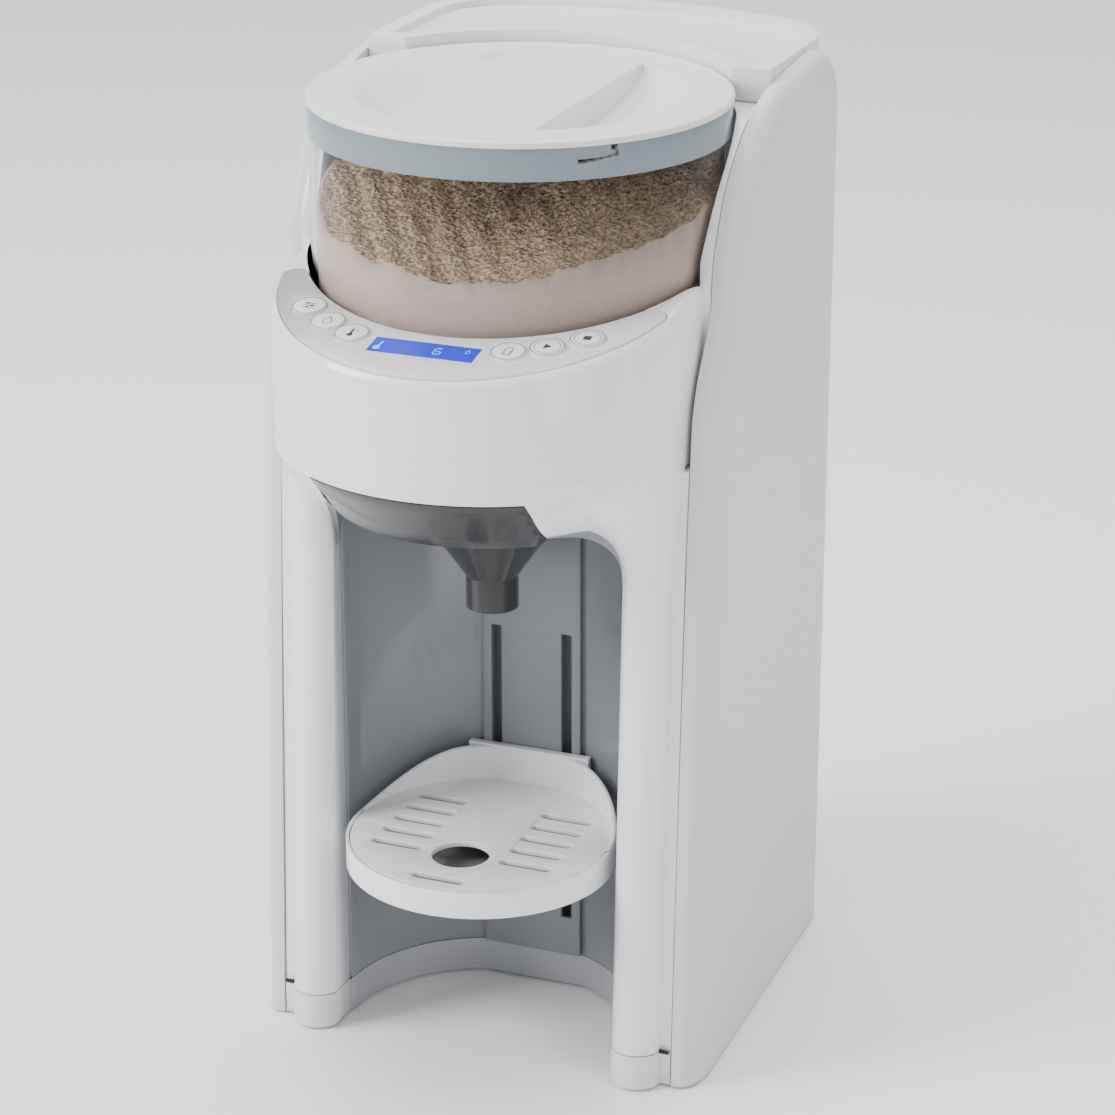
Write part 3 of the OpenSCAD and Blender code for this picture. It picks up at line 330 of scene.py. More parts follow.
def band_material():
    """Control strip: silvery at the left end, fading to white by the middle, with fine mica."""
    m, nt, bs = material("silver strip")
    co = nt.nodes.new("ShaderNodeTexCoord")
    sep = nt.nodes.new("ShaderNodeSeparateXYZ")
    nt.links.new(co.outputs["Object"], sep.inputs[0])
    mr = nt.nodes.new("ShaderNodeMapRange")
    mr.interpolation_type = "SMOOTHSTEP"
    mr.inputs["From Min"].default_value = -0.075
    mr.inputs["From Max"].default_value = -0.02
    nt.links.new(sep.outputs["X"], mr.inputs["Value"])
    ramp = nt.nodes.new("ShaderNodeMix")
    ramp.data_type = "RGBA"
    ramp.inputs["A"].default_value = (0.38, 0.38, 0.39, 1)
    ramp.inputs["B"].default_value = (0.8, 0.8, 0.81, 1)
    nt.links.new(mr.outputs["Result"], ramp.inputs["Factor"])
    g = nt.nodes.new("ShaderNodeGroup")
    g.node_tree = MOULDED
    g.inputs["Grain"].default_value = 3000
    g.inputs["Depth"].default_value = 0.04
    g.inputs["Rough"].default_value = 0.24
    nt.links.new(ramp.outputs["Result"], g.inputs["Color"])
    nt.links.new(g.outputs["Color"], bs.inputs["Base Color"])
    nt.links.new(g.outputs["Roughness"], bs.inputs["Roughness"])
    nt.links.new(g.outputs["Normal"], bs.inputs["Normal"])
    bs.inputs["Metallic"].default_value = 0.25
    return m


def glow_material(name, color, strength, rough):
    """Lit display surface: its colour drifts slightly and also glows."""
    m, nt, bs = material(name)
    co = nt.nodes.new("ShaderNodeTexCoord")
    no = nt.nodes.new("ShaderNodeTexNoise")
    no.inputs["Scale"].default_value = 90
    nt.links.new(co.outputs["Object"], no.inputs["Vector"])
    mix = nt.nodes.new("ShaderNodeMix")
    mix.data_type = "RGBA"
    mix.inputs["A"].default_value = (color[0] * 0.85, color[1] * 0.85, color[2] * 0.9, 1)
    mix.inputs["B"].default_value = (*color, 1)
    nt.links.new(no.outputs["Fac"], mix.inputs["Factor"])
    nt.links.new(mix.outputs["Result"], bs.inputs["Base Color"])
    nt.links.new(mix.outputs["Result"], bs.inputs["Emission Color"])
    bs.inputs["Emission Strength"].default_value = strength
    bs.inputs["Roughness"].default_value = rough
    return m


def powder_material():
    """Milk powder: packed pinkish beige against the wall, crumbly brown on the open top."""
    m, nt, bs = material("formula powder")
    co = nt.nodes.new("ShaderNodeTexCoord")
    fine = nt.nodes.new("ShaderNodeTexNoise")
    fine.inputs["Scale"].default_value = 700
    fine.inputs["Detail"].default_value = 6
    nt.links.new(co.outputs["Object"], fine.inputs["Vector"])
    lump = nt.nodes.new("ShaderNodeTexVoronoi")
    lump.inputs["Scale"].default_value = 520
    nt.links.new(co.outputs["Object"], lump.inputs["Vector"])
    top = nt.nodes.new("ShaderNodeAttribute")
    top.attribute_name = "loose"
    packed = nt.nodes.new("ShaderNodeMix")
    packed.data_type = "RGBA"
    packed.inputs["A"].default_value = (0.46, 0.36, 0.31, 1)
    packed.inputs["B"].default_value = (0.62, 0.51, 0.455, 1)
    nt.links.new(fine.outputs["Fac"], packed.inputs["Factor"])
    crumb = nt.nodes.new("ShaderNodeValToRGB")
    crumb.color_ramp.elements[0].position = 0.32
    crumb.color_ramp.elements[0].color = (0.3, 0.2, 0.115, 1)
    crumb.color_ramp.elements[1].position = 0.7
    crumb.color_ramp.elements[1].color = (0.72, 0.58, 0.42, 1)
    nt.links.new(fine.outputs["Fac"], crumb.inputs["Fac"])
    mix = nt.nodes.new("ShaderNodeMix")
    mix.data_type = "RGBA"
    nt.links.new(top.outputs["Fac"], mix.inputs["Factor"])
    nt.links.new(packed.outputs["Result"], mix.inputs["A"])
    nt.links.new(crumb.outputs["Color"], mix.inputs["B"])
    nt.links.new(mix.outputs["Result"], bs.inputs["Base Color"])
    h = nt.nodes.new("ShaderNodeMath")
    h.operation = "MULTIPLY"
    nt.links.new(lump.outputs["Distance"], h.inputs[0])
    nt.links.new(top.outputs["Fac"], h.inputs[1])
    bump = nt.nodes.new("ShaderNodeBump")
    bump.inputs["Strength"].default_value = 0.9
    bump.inputs["Distance"].default_value = 0.0015
    nt.links.new(h.outputs[0], bump.inputs["Height"])
    nt.links.new(bump.outputs["Normal"], bs.inputs["Normal"])
    bs.inputs["Roughness"].default_value = 0.95
    bs.inputs["Specular IOR Level"].default_value = 0.1
    return m


NICHE_ROUND, NICHE_TOP = 0.0552, 0.2178            # radius and ceiling of the niche, just outside it
TRAY_Y, BASIN_R, BASIN_TOP = -0.055, 0.0462, 0.0826
# painted shade: the shell and the base are coloured darker grey inside the niche, where shade falls
painted_shade_patch(M["shell"], NICHE_Y, NICHE_ROUND, NICHE_TOP, (0.23, 0.24, 0.26))
painted_shade_patch(M["base"], NICHE_Y, NICHE_ROUND, NICHE_TOP, (0.4, 0.41, 0.43))
# inside the tray's basin: grey plastic, with painted shade making it darker still
painted_shade_patch(M["tray"], TRAY_Y, BASIN_R, BASIN_TOP, (0.2, 0.2, 0.21))
M["band"] = band_material()
M["screen"] = glow_material("blue display", (0.0, 0.018, 0.6), 0.45, 0.15)
M["digits"] = glow_material("cyan digits", (0.02, 0.6, 0.75), 1.0, 0.3)
M["powder"] = powder_material()

# ---------------------------------------------------------------- carried-over CAD nodes
DRESS = {   # node: (material, width of its rounded edges)
    "base_frame": ("base", 0.0004), "rubber_feet": ("rubber", 0.0004), "base_screws": ("steel", 0),
    "front_shell": ("shell", 0.0006), "rear_cover": ("cover", 0.0004), "cover_screws": ("steel", 0),
    # niche_insert and funnel_rails take the niche material, whose dark grey is painted shade
    "niche_insert": ("niche", 0.0003), "tray_body": ("tray", 0.0005),
    "tray_cover": ("tray", 0.0003), "funnel": ("smoke", 0.0003), "funnel_rails": ("niche", 0.0003),
    "hopper_dock": ("works", 0.0003), "outlet_seal": ("seal", 0.0002),
    "powder_container": ("clear", 0), "container_collar": ("collar", 0.0002),
    "container_floor": ("works", 0.0003), "container_lid": ("lid", 0.0006), "lid_seal": ("seal", 0),
    "dosing_wheel": ("gear", 0.0003), "stirrer": ("gear", 0.0003),
    "drive_coupler": ("steel", 0.0001), "output_gear": ("gear", 0), "idler_gear": ("gear", 0),
    "idler_pin": ("steel", 0), "motor_pinion": ("gear", 0), "drive_motor": ("motor", 0.0004),
    "gear_case": ("black", 0.0003), "control_panel": ("band", 0.0002),
    "display_window": ("screen", 0), "display_module": ("board", 0), "control_board": ("board", 0),
    "setting_button": ("key", 0.0003), "water_button": ("key", 0.0003),
    "temperature_button": ("key", 0.0003), "amount_button": ("key", 0.0003),
    "start_button": ("key", 0.0003), "stop_button": ("key", 0.0003), "water_tank": ("tank", 0),
    "tank_lid": ("cap", 0.0008), "tank_lid_pins": ("steel", 0), "tank_valve": ("works", 0.0003),
    "valve_seal": ("seal", 0), "valve_socket": ("works", 0.0003), "water_pump": ("black", 0.0004),
    "water_heater": ("steel", 0.0004), "heater_bracket": ("steel", 0), "water_tubes": ("hose", 0),
    "water_nozzle": ("hose", 0), "main_board": ("board", 0), "power_inlet": ("black", 0.0003),
    "left_side_panel": ("panel", 0), "right_side_panel": ("panel", 0),
}
for node, (key, width) in DRESS.items():
    ob = frame["nodes"][node]
    ob.data.materials.clear()
    ob.data.materials.append(M[key])
    edge_soften(ob, width)


# ---------------------------------------------------------------- side panels
def smooth_curve(points, steps=16):
    """Catmull-Rom curve through points: each span blends its two ends and their neighbours by
    cubic weights."""
    p = np.array(points, float)
    ext = np.vstack([p[:1], p, p[-1:]])
    p0, p1, p2, p3 = (ext[k:k + len(p) - 1, None] for k in range(4))
    t = (np.arange(steps) / steps)[None, :, None]
    spans = 0.5 * (2 * p1 + (p2 - p0) * t + (2 * p0 - 5 * p1 + 4 * p2 - p3) * t * t
                   + (3 * p1 - p0 - 3 * p2 + p3) * t ** 3)
    return np.vstack([spans.reshape(-1, 2), p[-1:]])


def side_panel(name, side):
    """Panel outline offset inwards level by level: distance out follows a quarter ellipse and the
    set-back is long at the front edge and short at the top and the back."""
    x0, x1 = PAN_LO[0], PAN_HI[0]
    y0, y1 = PAN_LO[1], PAN_HI[1]
    top = PAN_HI[2]
    foot = 0.001
    k = top / 0.3535
    front = [(0, foot), (0.0051, 0.1175), (0.0116, 0.230), (0.016, 0.2588), (0.030, 0.2828),
             (0.034, 0.3038), (0.049, 0.329), (0.079, 0.348), (y1 - 0.029 - y0, top)]
    line = smooth_curve([(y0 + a, b * k if foot < b < top else b) for a, b in front])
    corner_r = 0.024
    a = np.radians(np.linspace(82, 0, 24))
    corner = np.stack([y1 - corner_r + corner_r * np.cos(a), top - 0.0235 + corner_r * np.sin(a)], 1)
    down = np.linspace(top - 0.03, foot, 30)
    p = np.vstack([line, corner, np.stack([np.full_like(down, y1), down], 1)])
    d = np.gradient(p, axis=0)
    d /= np.linalg.norm(d, axis=1)[:, None]
    inward = np.stack([d[:, 1], -d[:, 0]], 1)
    inward[0], inward[-1] = (1, 0), (-1, 0)
    setback = 0.016 * np.maximum(0.3, 1 - 0.85 * (p[:, 0] - y0) / (y1 - y0))
    widest = y0 + setback[0]
    turn = np.linspace(0, math.pi / 2, 22)
    outs = np.concatenate([[0.0], 0.25 + 0.75 * np.sin(turn)])[:, None]
    backs = np.concatenate([[0.0], 1 - np.cos(turn)])[:, None, None]
    q = p + (inward * setback[:, None])[None] * backs
    x = x0 + outs * ((x1 - x0) - math.tan(math.radians(1.2)) * (q[..., 0] - widest))
    g = np.stack([side * np.minimum(x, x1), q[..., 0], q[..., 1]], -1)
    # the flat faces are strips between the front curve and the back edge
    n = len(p)
    i = np.arange(n // 2 - 1)
    flat = np.stack([i, i + 1, n - 2 - i, n - 1 - i], 1)
    faces = np.concatenate([grid_faces(len(outs), n, wrap_cols=True), (len(outs) - 1) * n + flat, flat])
    ob = mesh_piece(name, g.reshape(-1, 3), faces[:, ::-side], M["panel"], "frame")
    split_sharp(ob, 30)
    return ob


for label, side, node in (("left_panel_skin", -1, "left_side_panel"),
                          ("right_panel_skin", 1, "right_side_panel")):
    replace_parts(side_panel(label, side), node)


# ---------------------------------------------------------------- head flowing into the pillars
def blend_side(side):
    """Concave sweep from the head's round wall down to a pillar, as cubic Hermite lines between two
    edges. The upper edge lies on the head's circle. The lower edge runs down the arch's rounded
    corner beside the funnel plate and then round the pillar's nose. Both ends leave along the walls."""
    plate = FUNNEL_HALF + 0.0004
    z_top, z_low, z_arch = 0.2420, 0.1900, 0.2166
    n1, n2 = 26, 34
    # upper edge, by x along the head
    bend = 0.0560
    round_on = bend + (HEAD_R - 0.0002 - bend) * np.sin(np.linspace(0, math.pi / 2, n2 + 1))[1:]
    xs = np.concatenate([np.linspace(plate, bend, n1), round_on])
    ys = HEAD_Y - np.sqrt(np.maximum((HEAD_R + 0.00005) ** 2 - xs ** 2, 0))
    top = np.stack([xs, ys, np.full_like(xs, z_top)], 1)
    # lower edge: arch corner, then the nose
    a = np.linspace(0, math.pi / 2, n1)
    nose_y = NOSE_Y + z_low * LEAN
    arch_y = -0.0884
    arch = np.stack([plate + (NOSE_X - NOSE_R - 0.0002 - plate) * np.sin(a),
                     arch_y + (nose_y - 0.0006 - arch_y) * np.sin(a) ** 1.3,
                     z_arch - (z_arch - z_low) * (1 - np.cos(a))], 1)
    b = np.linspace(math.pi, 2 * math.pi, n2 + 1)[1:]
    r = NOSE_R + 0.0001
    nose = np.stack([NOSE_X + r * np.cos(b), nose_y + r * np.sin(b), np.full_like(b, z_low)], 1)
    low = np.vstack([arch, nose])
    drop = top[:, 2] - low[:, 2]
    zero = np.zeros_like(drop)
    m0 = np.stack([zero, zero, -drop * 0.9], 1)
    share = np.concatenate([np.cos(a), np.zeros(n2)])
    m1 = np.stack([zero, drop * 1.1 * share, -drop * (1.0 - 0.35 * share)], 1)
    t = np.linspace(0, 1, 30)[:, None, None]
    h00, h10 = 2 * t ** 3 - 3 * t ** 2 + 1, t ** 3 - 2 * t ** 2 + t
    h01, h11 = -2 * t ** 3 + 3 * t ** 2, t ** 3 - t ** 2
    g = h00 * top + h10 * m0 + h01 * low + h11 * m1
    # tucked edge that closes the sweep against the underside
    tuck = g[-1] + np.array([0, 0.006, 0.004])
    g = np.concatenate([g, tuck[None]], 0)
    g[..., 0] *= side
    mesh = mesh_piece("head_sweep_right" if side > 0 else "head_sweep_left", g.reshape(-1, 3),
                      grid_faces(*g.shape[:2])[:, ::-side], M["shell"], "frame")
    split_sharp(mesh, 40)


blend_side(-1)
blend_side(1)


# ---------------------------------------------------------------- painted shadow strips in the seams
def wall_strip(line, z0, z1):
    """Upright strip over a plan line between two heights, which may vary along it."""
    line = np.asarray(line, float)
    z0, z1 = np.broadcast_to(z0, len(line)), np.broadcast_to(z1, len(line))
    return np.stack([np.column_stack([line, z0]), np.column_stack([line, z1])])


def strips(name, parts, mat, body):
    """Several two-edged strips as one piece."""
    starts = np.cumsum([0] + [2 * g.shape[1] for g in parts[:-1]])
    verts = np.concatenate([g.reshape(-1, 3) for g in parts])
    faces = np.concatenate([k + grid_faces(2, g.shape[1]) for k, g in zip(starts, parts)])
    return mesh_piece(name, verts, faces, mat, body)


def circle_line(cx, cy, r, a0, a1, n=60):
    """Points round a circle between two angles in degrees: the centre plus the radius times the
    cosine and the sine."""
    a = np.radians(np.linspace(a0, a1, n))
    return np.stack([cx + r * np.cos(a), cy + r * np.sin(a)], 1)


def seam_shadow_pieces():
    """Dark strips of painted shadow set half a millimetre behind the base seam, the funnel plate's edges,
    the lid's lower edge and the hopper's well: arcs and straight lines of the same plans, pushed inwards."""
    z = float(SHE_LO[2])
    niche_r, flat_half, flat_y = 0.0545, 0.0204, 0.0496
    flat = math.degrees(math.atan2(flat_y, flat_half))
    lines = [circle_line(0, NICHE_Y, niche_r, 180, 180 - flat - 0.5),
             circle_line(0, NICHE_Y, niche_r, flat - 0.5, 0),
             [(-0.021, -0.0035), (0.021, -0.0035)]]
    for side in (-1, 1):
        line = circle_line(NOSE_X, NOSE_Y + LEAN * z, NOSE_R - 0.0005, 180, 360)
        line = np.vstack([[(0.0555, -0.0545)], line, [(0.0724, -0.0640)], [(0.0766, -0.0640)]])
        lines.append(line * (side, 1))
    # painted shadow strips behind the base seam, round the niche and the pillars' noses
    parts = [wall_strip(line, z - 0.0009, z + 0.0008) for line in lines]
    strips("base_seam_shadow", parts, M["painted_gap_shadow"], "frame")
    # painted shadow round the funnel's plate: the head's lower cone, set back
    lip, corner_z = 0.2350, 0.2160

    def cone(x, zz):
        """Points of the cone under the head's lip: its radius shrinks by 0.87 per unit of fall."""
        r = HEAD_R - np.maximum(lip - zz, 0) * 0.87 - 0.0006
        return np.stack(np.broadcast_arrays(x, HEAD_Y - np.sqrt(r * r - x * x), zz), 1)

    xs = np.linspace(-FUNNEL_HALF - 0.0006, FUNNEL_HALF + 0.0006, 80)
    edge = [np.stack([cone(xs, lip - 0.0006), cone(xs, lip + 0.0007)])]
    zs = np.linspace(corner_z, lip + 0.0003, 20)
    for side in (-1, 1):
        edge.append(np.stack([cone(side * (FUNNEL_HALF + w), zs) for w in (-0.0005, 0.0007)]))
    strips("funnel_gap_shadow", edge, M["painted_gap_shadow"], "frame")
    # painted shadow line under the lid's rim
    rim = circle_line(0, HOP_Y, CON_R + 0.00015, 0, 360, 200)
    strips("lid_gap_shadow", [wall_strip(rim, LID_TOP - 0.0031, LID_TOP - 0.0023)], M["painted_gap_shadow"], "lid")
    # hopper's well: dark wall of painted shadow under the control strip's edge and the wings
    well = circle_line(0, HOP_Y, CON_R + 0.0013, -186, 6, 200)
    strip_y, strip_z, foot = float(SHE_LO[1]) + 0.0314, 0.2842, 0.263
    plane = strip_z + math.tan(TILT) * (well[:, 1] - strip_y)
    strips("well_gap_shadow", [wall_strip(well, foot, plane)], M["painted_gap_shadow"], "frame")


seam_shadow_pieces()


def tray_rim():
    """Wall round the back of the tray: an arc of the tray's circle whose height climbs by a smooth
    step from the cover's level at the sides to the top of the back plate."""
    r = 0.0493
    cy = float(TRAY_LO[1]) + r
    a = np.radians(np.linspace(2, 79, 60))
    u = np.clip((a - a[0]) / (a[-1] - a[0]) * 1.25, 0, 1)
    rise = (float(TRAY_HI[2]) - COVER_TOP - 0.0012) * (u * u * (3 - 2 * u)) ** 1.1
    # (set-back, height, whether the point climbs) round the wall's section
    profile = np.array([(0.0, -0.0012, 0), (0.0, 0.0, 1), (-0.0005, 0.0005, 1),
                        (-0.0014, 0.0005, 1), (-0.0019, 0.0, 1), (-0.0019, -0.0012, 0)])
    inset, up, climbs = profile.T[..., None]
    rr = r + inset - 0.00005
    x, y, z = np.broadcast_arrays(rr * np.cos(a), cy + rr * np.sin(a), COVER_TOP + climbs * rise + up)
    faces = grid_faces(*x.shape, wrap_rows=True)
    verts = np.concatenate([np.stack([side * x, y, z], -1).reshape(-1, 3) for side in (-1, 1)])
    ob = mesh_piece("tray_rim", verts, np.concatenate([faces, x.size + faces[:, ::-1]]), M["tray"],
                    "tray")
    split_sharp(ob, 40)


tray_rim()


def slot_backs():
    """Closed channels behind the niche's two long slots, out of the hooks' reach: straight walls
    that run back from the insert, across and forward again, carried straight up."""
    back = float(node_box("niche_insert")[1][1])
    deep = back + 0.0056
    parts = []
    for x in (-0.014, 0.014):
        x0, x1 = x - 0.0032, x + 0.0032
        parts.append(wall_strip([(x0, back), (x0, deep), (x1, deep), (x1, back)], 0.026, 0.150))
    # the slot backs take the niche's dark grey, which is painted shade
    strips("slot_backs", parts, M["niche"], "frame")


slot_backs()


# ---------------------------------------------------------------- hopper lid
def lid_skin():
    """Lid top as rows of constant y. Across a row the height is the rim plane, except in the two
    finger recesses, where it falls straight down at the grip bar and climbs back to the round edge."""
    R, grip, rim, deep = 0.0586, 0.026, LID_R - 0.0012, 0.0105
    ys = np.concatenate([np.linspace(-rim, -0.053, 12), np.linspace(-0.0525, 0.0525, 121),
                         np.linspace(0.053, rim, 12)])
    ys = np.clip(ys, -rim * 0.9999, rim * 0.9999)[:, None]
    X = np.sqrt(rim * rim - ys * ys)
    a = np.sqrt(np.maximum(R * R - ys * ys, 0.0))
    recessed = a > grip + 0.0002
    b = np.where(X < grip * 2, np.minimum(grip, X * 0.35), grip)
    # from the middle outwards: grip bar, its steep wall, the floor, then the rim plane
    bar_x = b * np.array([0.02, 0.35, 0.7, 0.94])
    room = np.maximum(a - grip, 0)
    depth = deep * np.minimum(1.0, room / (R - grip)) ** 0.55
    u = np.linspace(0, 1, 22)
    wall_x = b + np.array([-0.0006, -0.0002, 0, 0.00005])
    wall_z = np.array([0, -0.00012, -0.0006, 0]) + depth * np.array([0, 0, 0, -0.6])
    floor_x = grip + 0.0002 + u * (room - 0.0002)
    floor_z = -depth * (1 - u ** 1.6) ** 1.25
    plain_x = b + (X - b) * np.linspace(0.0, 0.25, 26)
    mid_x = np.where(recessed, np.hstack([wall_x, floor_x]), plain_x)
    mid_z = np.where(recessed, np.hstack([wall_z, floor_z]), 0)
    start = mid_x[:, -1:]
    half_x = np.hstack([bar_x, mid_x, start + (X - start) * np.linspace(0.05, 1, 12)])
    half_z = np.hstack([0 * bar_x, mid_z, np.zeros((len(ys), 12))])
    x = np.hstack([-half_x[:, ::-1], half_x])
    z = LID_TOP + np.hstack([half_z[:, ::-1], half_z])
    g = np.stack(np.broadcast_arrays(x, ys + HOP_Y, z), -1)
    # rounded rim, edge and underside
    under = LID_TOP - 0.00245
    profile = [(rim - 0.0002, LID_TOP), (rim + 0.0004, LID_TOP - 0.00006), (rim + 0.0009, LID_TOP - 0.0004),
               (LID_R, LID_TOP - 0.0011), (LID_R, LID_TOP - 0.0021), (LID_R - 0.0004, under),
               (CON_R - 0.0036, under)]
    v2, f2 = turned(profile, 220, (0, HOP_Y))
    verts = np.concatenate([g.reshape(-1, 3), v2])
    faces = np.concatenate([grid_faces(*x.shape), x.size + f2[:, ::-1]])
    ob = mesh_piece("lid_skin", verts, faces, M["lid"], "lid")
    split_sharp(ob, 32)
    return ob


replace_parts(lid_skin(), "container_lid")


# ---------------------------------------------------------------- powder
def powder_heap():
    """Powder filling the hopper: packed cylinder whose top is a ragged slope, higher at the back,
    made of a plane tilt plus a few sine ridges and random crumbs."""
    R = CON_R - 0.0018 - 0.0005
    around, rings = 260, 60
    a = np.linspace(0, 2 * math.pi, around, endpoint=False)
    r = R * (1 - np.arange(rings + 1)[:, None] / (rings + 0.5))
    x, y = r * np.cos(a), r * np.sin(a)
    crumbs = rng.normal(0, 0.00045, (rings + 1, around))
    crumbs[0] *= 0.25
    z = 0.3150 + 0.0125 * (y / R) + 0.006 * (x / R) ** 2
    z = z + 0.0011 * np.sin(90 * x + 40 * y) + 0.0008 * np.sin(210 * x - 150 * y + 1)
    z = z + 0.0005 * np.sin(500 * x + 300 * y) + crumbs
    top = np.stack([x, HOP_Y + y, z], -1)
    levels = np.array([CON_LO[2] + 0.0112, 0.28, 0.295])[:, None]
    side = np.stack(np.broadcast_arrays(R * np.cos(a), HOP_Y + R * np.sin(a), levels), -1)
    g = np.concatenate([side, top])
    rows = len(g)
    faces = grid_faces(rows, around, wrap_cols=True).tolist()
    faces.append(list(range((rows - 1) * around, rows * around)))
    faces.append(list(range(around - 1, -1, -1)))
    ob = mesh_piece("formula_powder", g.reshape(-1, 3), faces, M["powder"], "hopper")
    loose = np.repeat(np.arange(rows) > len(levels), around)
    at = ob.data.attributes.new("loose", "FLOAT", "POINT")
    at.data.foreach_set("value", loose.astype(np.float32))
    return ob


powder_heap()


# ---------------------------------------------------------------- control strip: rings, pictograms, digits
def on_face(centre, pts, lift):
    """Points (right, up-slope) in millimetres on the tilted strip about a centre, lifted along its
    normal: centre plus right times the first, up-slope times the second and the normal times lift."""
    right, up = np.array([1, 0, 0]), np.array([0, math.cos(TILT), math.sin(TILT)])
    a, b = 0.001 * np.array(pts, float).T[..., None]
    return centre + right * a + up * b + NORMAL * lift


def top_face(node):
    """Middle of a node's highest face along the strip's normal."""
    me = frame["nodes"][node].data
    co = np.empty(3 * len(me.vertices))
    me.vertices.foreach_get("co", co)
    co = co.reshape(-1, 3)
    up = co @ NORMAL
    rim = co[up > up.max() - 2e-5]
    return (rim.min(0) + rim.max(0)) / 2


def ring(radius, width, n=72):
    """Flat ring between two circles half a width either side of a radius."""
    pts = [(r * math.cos(t), r * math.sin(t)) for t in np.linspace(0, 2 * math.pi, n, endpoint=False)
           for r in (radius - width / 2, radius + width / 2)]
    return pts, [(2 * i, 2 * i + 1, (2 * i + 3) % (2 * n), (2 * i + 2) % (2 * n)) for i in range(n)]


def bar(a, b, width):
    """Straight stroke from a to b: both ends moved half a width to either side."""
    a, b = np.array(a, float), np.array(b, float)
    d = (b - a) / np.linalg.norm(b - a)
    s = np.array([-d[1], d[0]]) * width / 2
    return [tuple(a - s), tuple(b - s), tuple(b + s), tuple(a + s)], [(0, 1, 2, 3)]


def disc(centre, r, n=28):
    """Filled circle about a centre."""
    turns = np.linspace(0, 2 * math.pi, n, endpoint=False)
    pts = [(centre[0] + r * math.cos(t), centre[1] + r * math.sin(t)) for t in turns]
    return pts, [tuple(range(n))]


def arc_line(centre, r, a0, a1, width, n=20):
    """Stroke along a circle between two angles in degrees."""
    pts = [(centre[0] + k * math.cos(t), centre[1] + k * math.sin(t))
           for t in np.radians(np.linspace(a0, a1, n)) for k in (r - width / 2, r + width / 2)]
    return pts, [(2 * i, 2 * i + 1, 2 * i + 3, 2 * i + 2) for i in range(n - 1)]


def print_on(name, centre, shapes, mat, body, lift=0.00006):
    """Flat print of several shapes, laid on the strip about a centre."""
    starts = np.cumsum([0] + [len(pts) for pts, _ in shapes])
    verts = np.concatenate([on_face(centre, pts, lift) for pts, _ in shapes])
    faces = [[int(k) + i for i in f] for k, (_, fs) in zip(starts, shapes) for f in fs]
    return mesh_piece(name, verts, faces, mat, body, smooth=False)


LINE = 0.35
PICTOGRAMS = {
    "setting": [bar((-2.4, 1.4), (2.4, 1.4), LINE), bar((-2.4, 0), (2.4, 0), LINE),
                bar((-2.4, -1.4), (2.4, -1.4), LINE), disc((-1.0, 1.4), 0.6),
                disc((1.1, 0), 0.6), disc((-0.3, -1.4), 0.6)],
    "water": [arc_line((0, -0.7), 1.6, 150, 390, LINE), bar((-1.4, 0.1), (0, 2.7), LINE),
              bar((1.4, 0.1), (0, 2.7), LINE)],
    "temperature": [disc((0, -1.7), 1.05), bar((0, -1.6), (0, 2.4), 0.9),
                    bar((1.3, 1.9), (2.3, 1.9), LINE), bar((1.3, 0.9), (2.3, 0.9), LINE)],
    "amount": [bar((-1.3, -2.4), (1.3, -2.4), LINE), bar((-1.3, -2.4), (-1.3, 1.2), LINE),
               bar((1.3, -2.4), (1.3, 1.2), LINE), bar((-1.3, 1.2), (-0.6, 2.4), LINE),
               bar((1.3, 1.2), (0.6, 2.4), LINE), bar((-0.6, 2.4), (0.6, 2.4), LINE),
               bar((0.2, -1.2), (1.3, -1.2), LINE), bar((0.2, 0), (1.3, 0), LINE)],
    "start": [([(-1.1, -1.7), (1.8, 0), (-1.1, 1.7)], [(0, 1, 2)])],
    "stop": [([(-1.4, -1.4), (1.4, -1.4), (1.4, 1.4), (-1.4, 1.4)], [(0, 1, 2, 3)])],
}
for key, shapes in PICTOGRAMS.items():
    face = top_face(key + "_button")
    print_on(key + "_pictogram", face, shapes, M["ink"], key + "_key")
    rings = [ring(5.75, 0.3)]
    if key in ("start", "stop"):
        rings.append(ring(4.5, 0.25))
    print_on(key + "_outline", face, rings, M["line"], key + "_key")

def digit_six(cx, cy, w, h):
    """Seven-segment six: strokes between the corners and middles of a box, cut short at both ends."""
    strokes = [((-w, h), (w, h)), ((-w, h), (-w, 0)), ((-w, 0), (w, 0)),
               ((-w, 0), (-w, -h)), ((w, 0), (w, -h)), ((-w, -h), (w, -h))]
    out = []
    for ends in strokes:
        a, b = np.array(ends) + (cx, cy)
        cut = (b - a) / np.linalg.norm(b - a) * 0.35
        out.append(bar(a + cut, b - cut, 0.45))
    return out


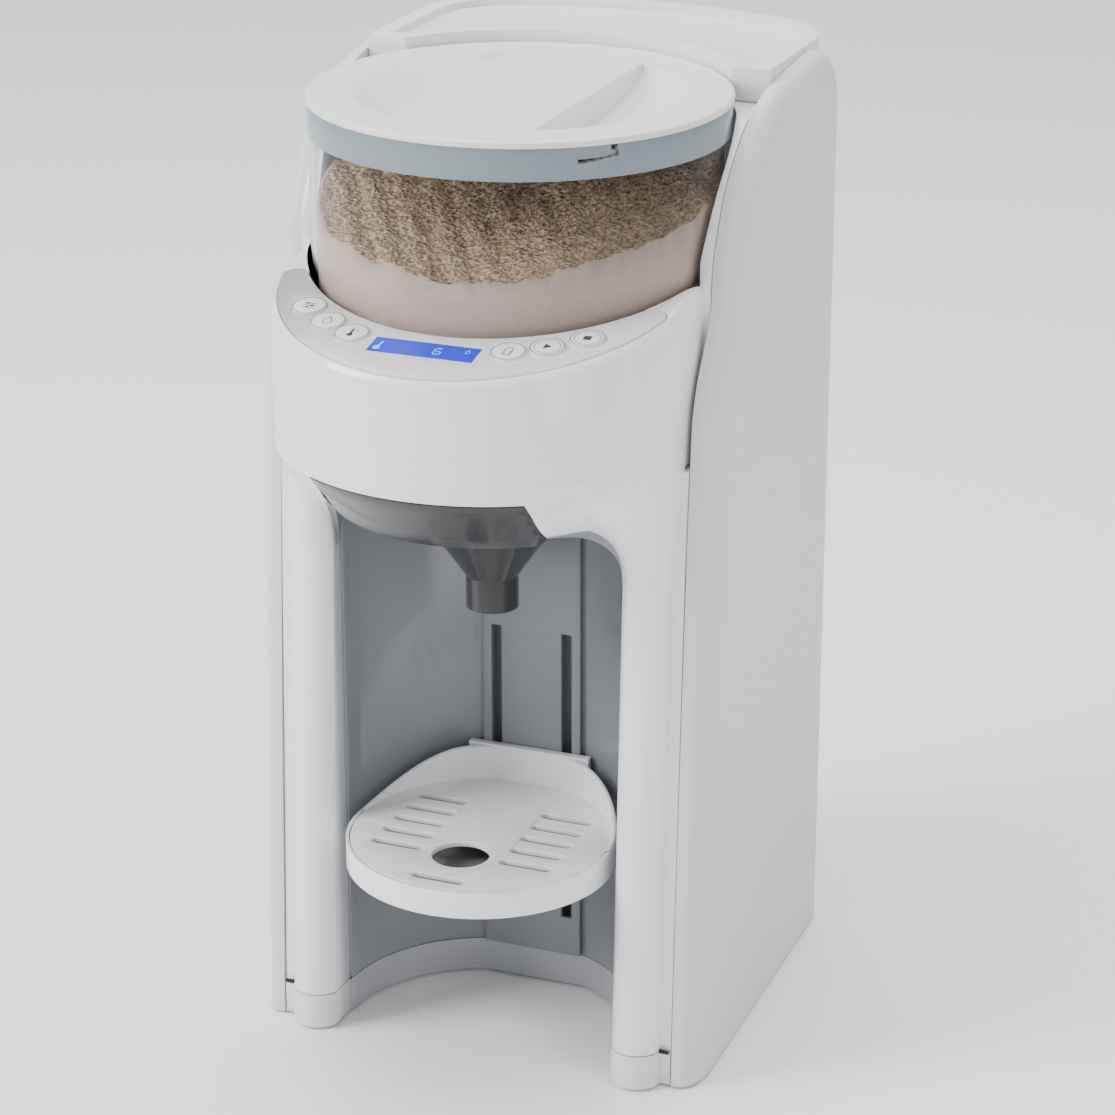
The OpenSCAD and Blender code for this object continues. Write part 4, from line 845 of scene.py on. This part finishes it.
shapes = digit_six(5.0, -0.3, 1.3, 2.0)
shapes += [disc((-16.4, -2.3), 1.3), bar((-16.4, -2.0), (-15.6, 2.2), 0.8)]
shapes += [arc_line((15.2, 1.3), 0.75, 150, 390, 0.25), bar((14.5, 1.7), (15.2, 3.0), 0.25),
           bar((15.9, 1.7), (15.2, 3.0), 0.25)]
print_on("display_figures", top_face("display_window"), shapes, M["digits"], "frame", 0.00008)

# ---------------------------------------------------------------- floor, light, camera
FLOOR = 6                                          # half the floor's side, in metres
me = bpy.data.meshes.new("floor")
me.from_pydata([(-FLOOR, -FLOOR, 0), (FLOOR, -FLOOR, 0), (FLOOR, FLOOR, 0), (-FLOOR, FLOOR, 0)], [],
               [(0, 1, 2, 3)])
floor = bpy.data.objects.new("floor", me)
bpy.context.scene.collection.objects.link(floor)
fm, _, fbs = material("pale floor")
fbs.inputs["Base Color"].default_value = (0.97, 0.97, 0.97, 1)
fbs.inputs["Roughness"].default_value = 0.22
me.materials.append(fm)


def area(name, place, aim, size, watts):
    """White rectangular light at a place, turned to a point."""
    d = bpy.data.lights.new(name, "AREA")
    d.shape = "RECTANGLE"
    d.size, d.size_y = size
    d.energy = watts
    o = bpy.data.objects.new(name, d)
    bpy.context.scene.collection.objects.link(o)
    o.location = place
    o.rotation_euler = (Vector(aim) - Vector(place)).to_track_quat("-Z", "Y").to_euler()
    return o


area("key softbox", (-1.5, -1.1, 1.3), (0, 0, 0.2), (0.9, 1.3), 56)
area("fill softbox", (1.7, -1.2, 0.7), (0, 0, 0.18), (0.7, 1.6), 9)
area("top softbox", (0, 0.4, 2.0), (0, 0, 0.2), (1.6, 1.6), 40)
world = bpy.data.worlds.new("studio")
bpy.context.scene.world = world
world.use_nodes = True
wn = world.node_tree.nodes
wn["Background"].inputs["Color"].default_value = (0.95, 0.96, 0.98, 1)
wn["Background"].inputs["Strength"].default_value = 0.85

CAMERA_PLACE, CAMERA_AIM, LENS = (0.4518, -1.1253, 0.6388), (0.014, -0.015, 0.1799), 113.8
cam_data = bpy.data.cameras.new("camera")
cam = bpy.data.objects.new("camera", cam_data)
bpy.context.scene.collection.objects.link(cam)
cam_data.sensor_width = 36
cam_data.lens = LENS
cam_data.clip_end = 30
cam.location = CAMERA_PLACE
aim = Vector(CAMERA_AIM) - cam.location
cam.rotation_euler = aim.to_track_quat("-Z", "Y").to_euler()
bpy.context.scene.camera = cam
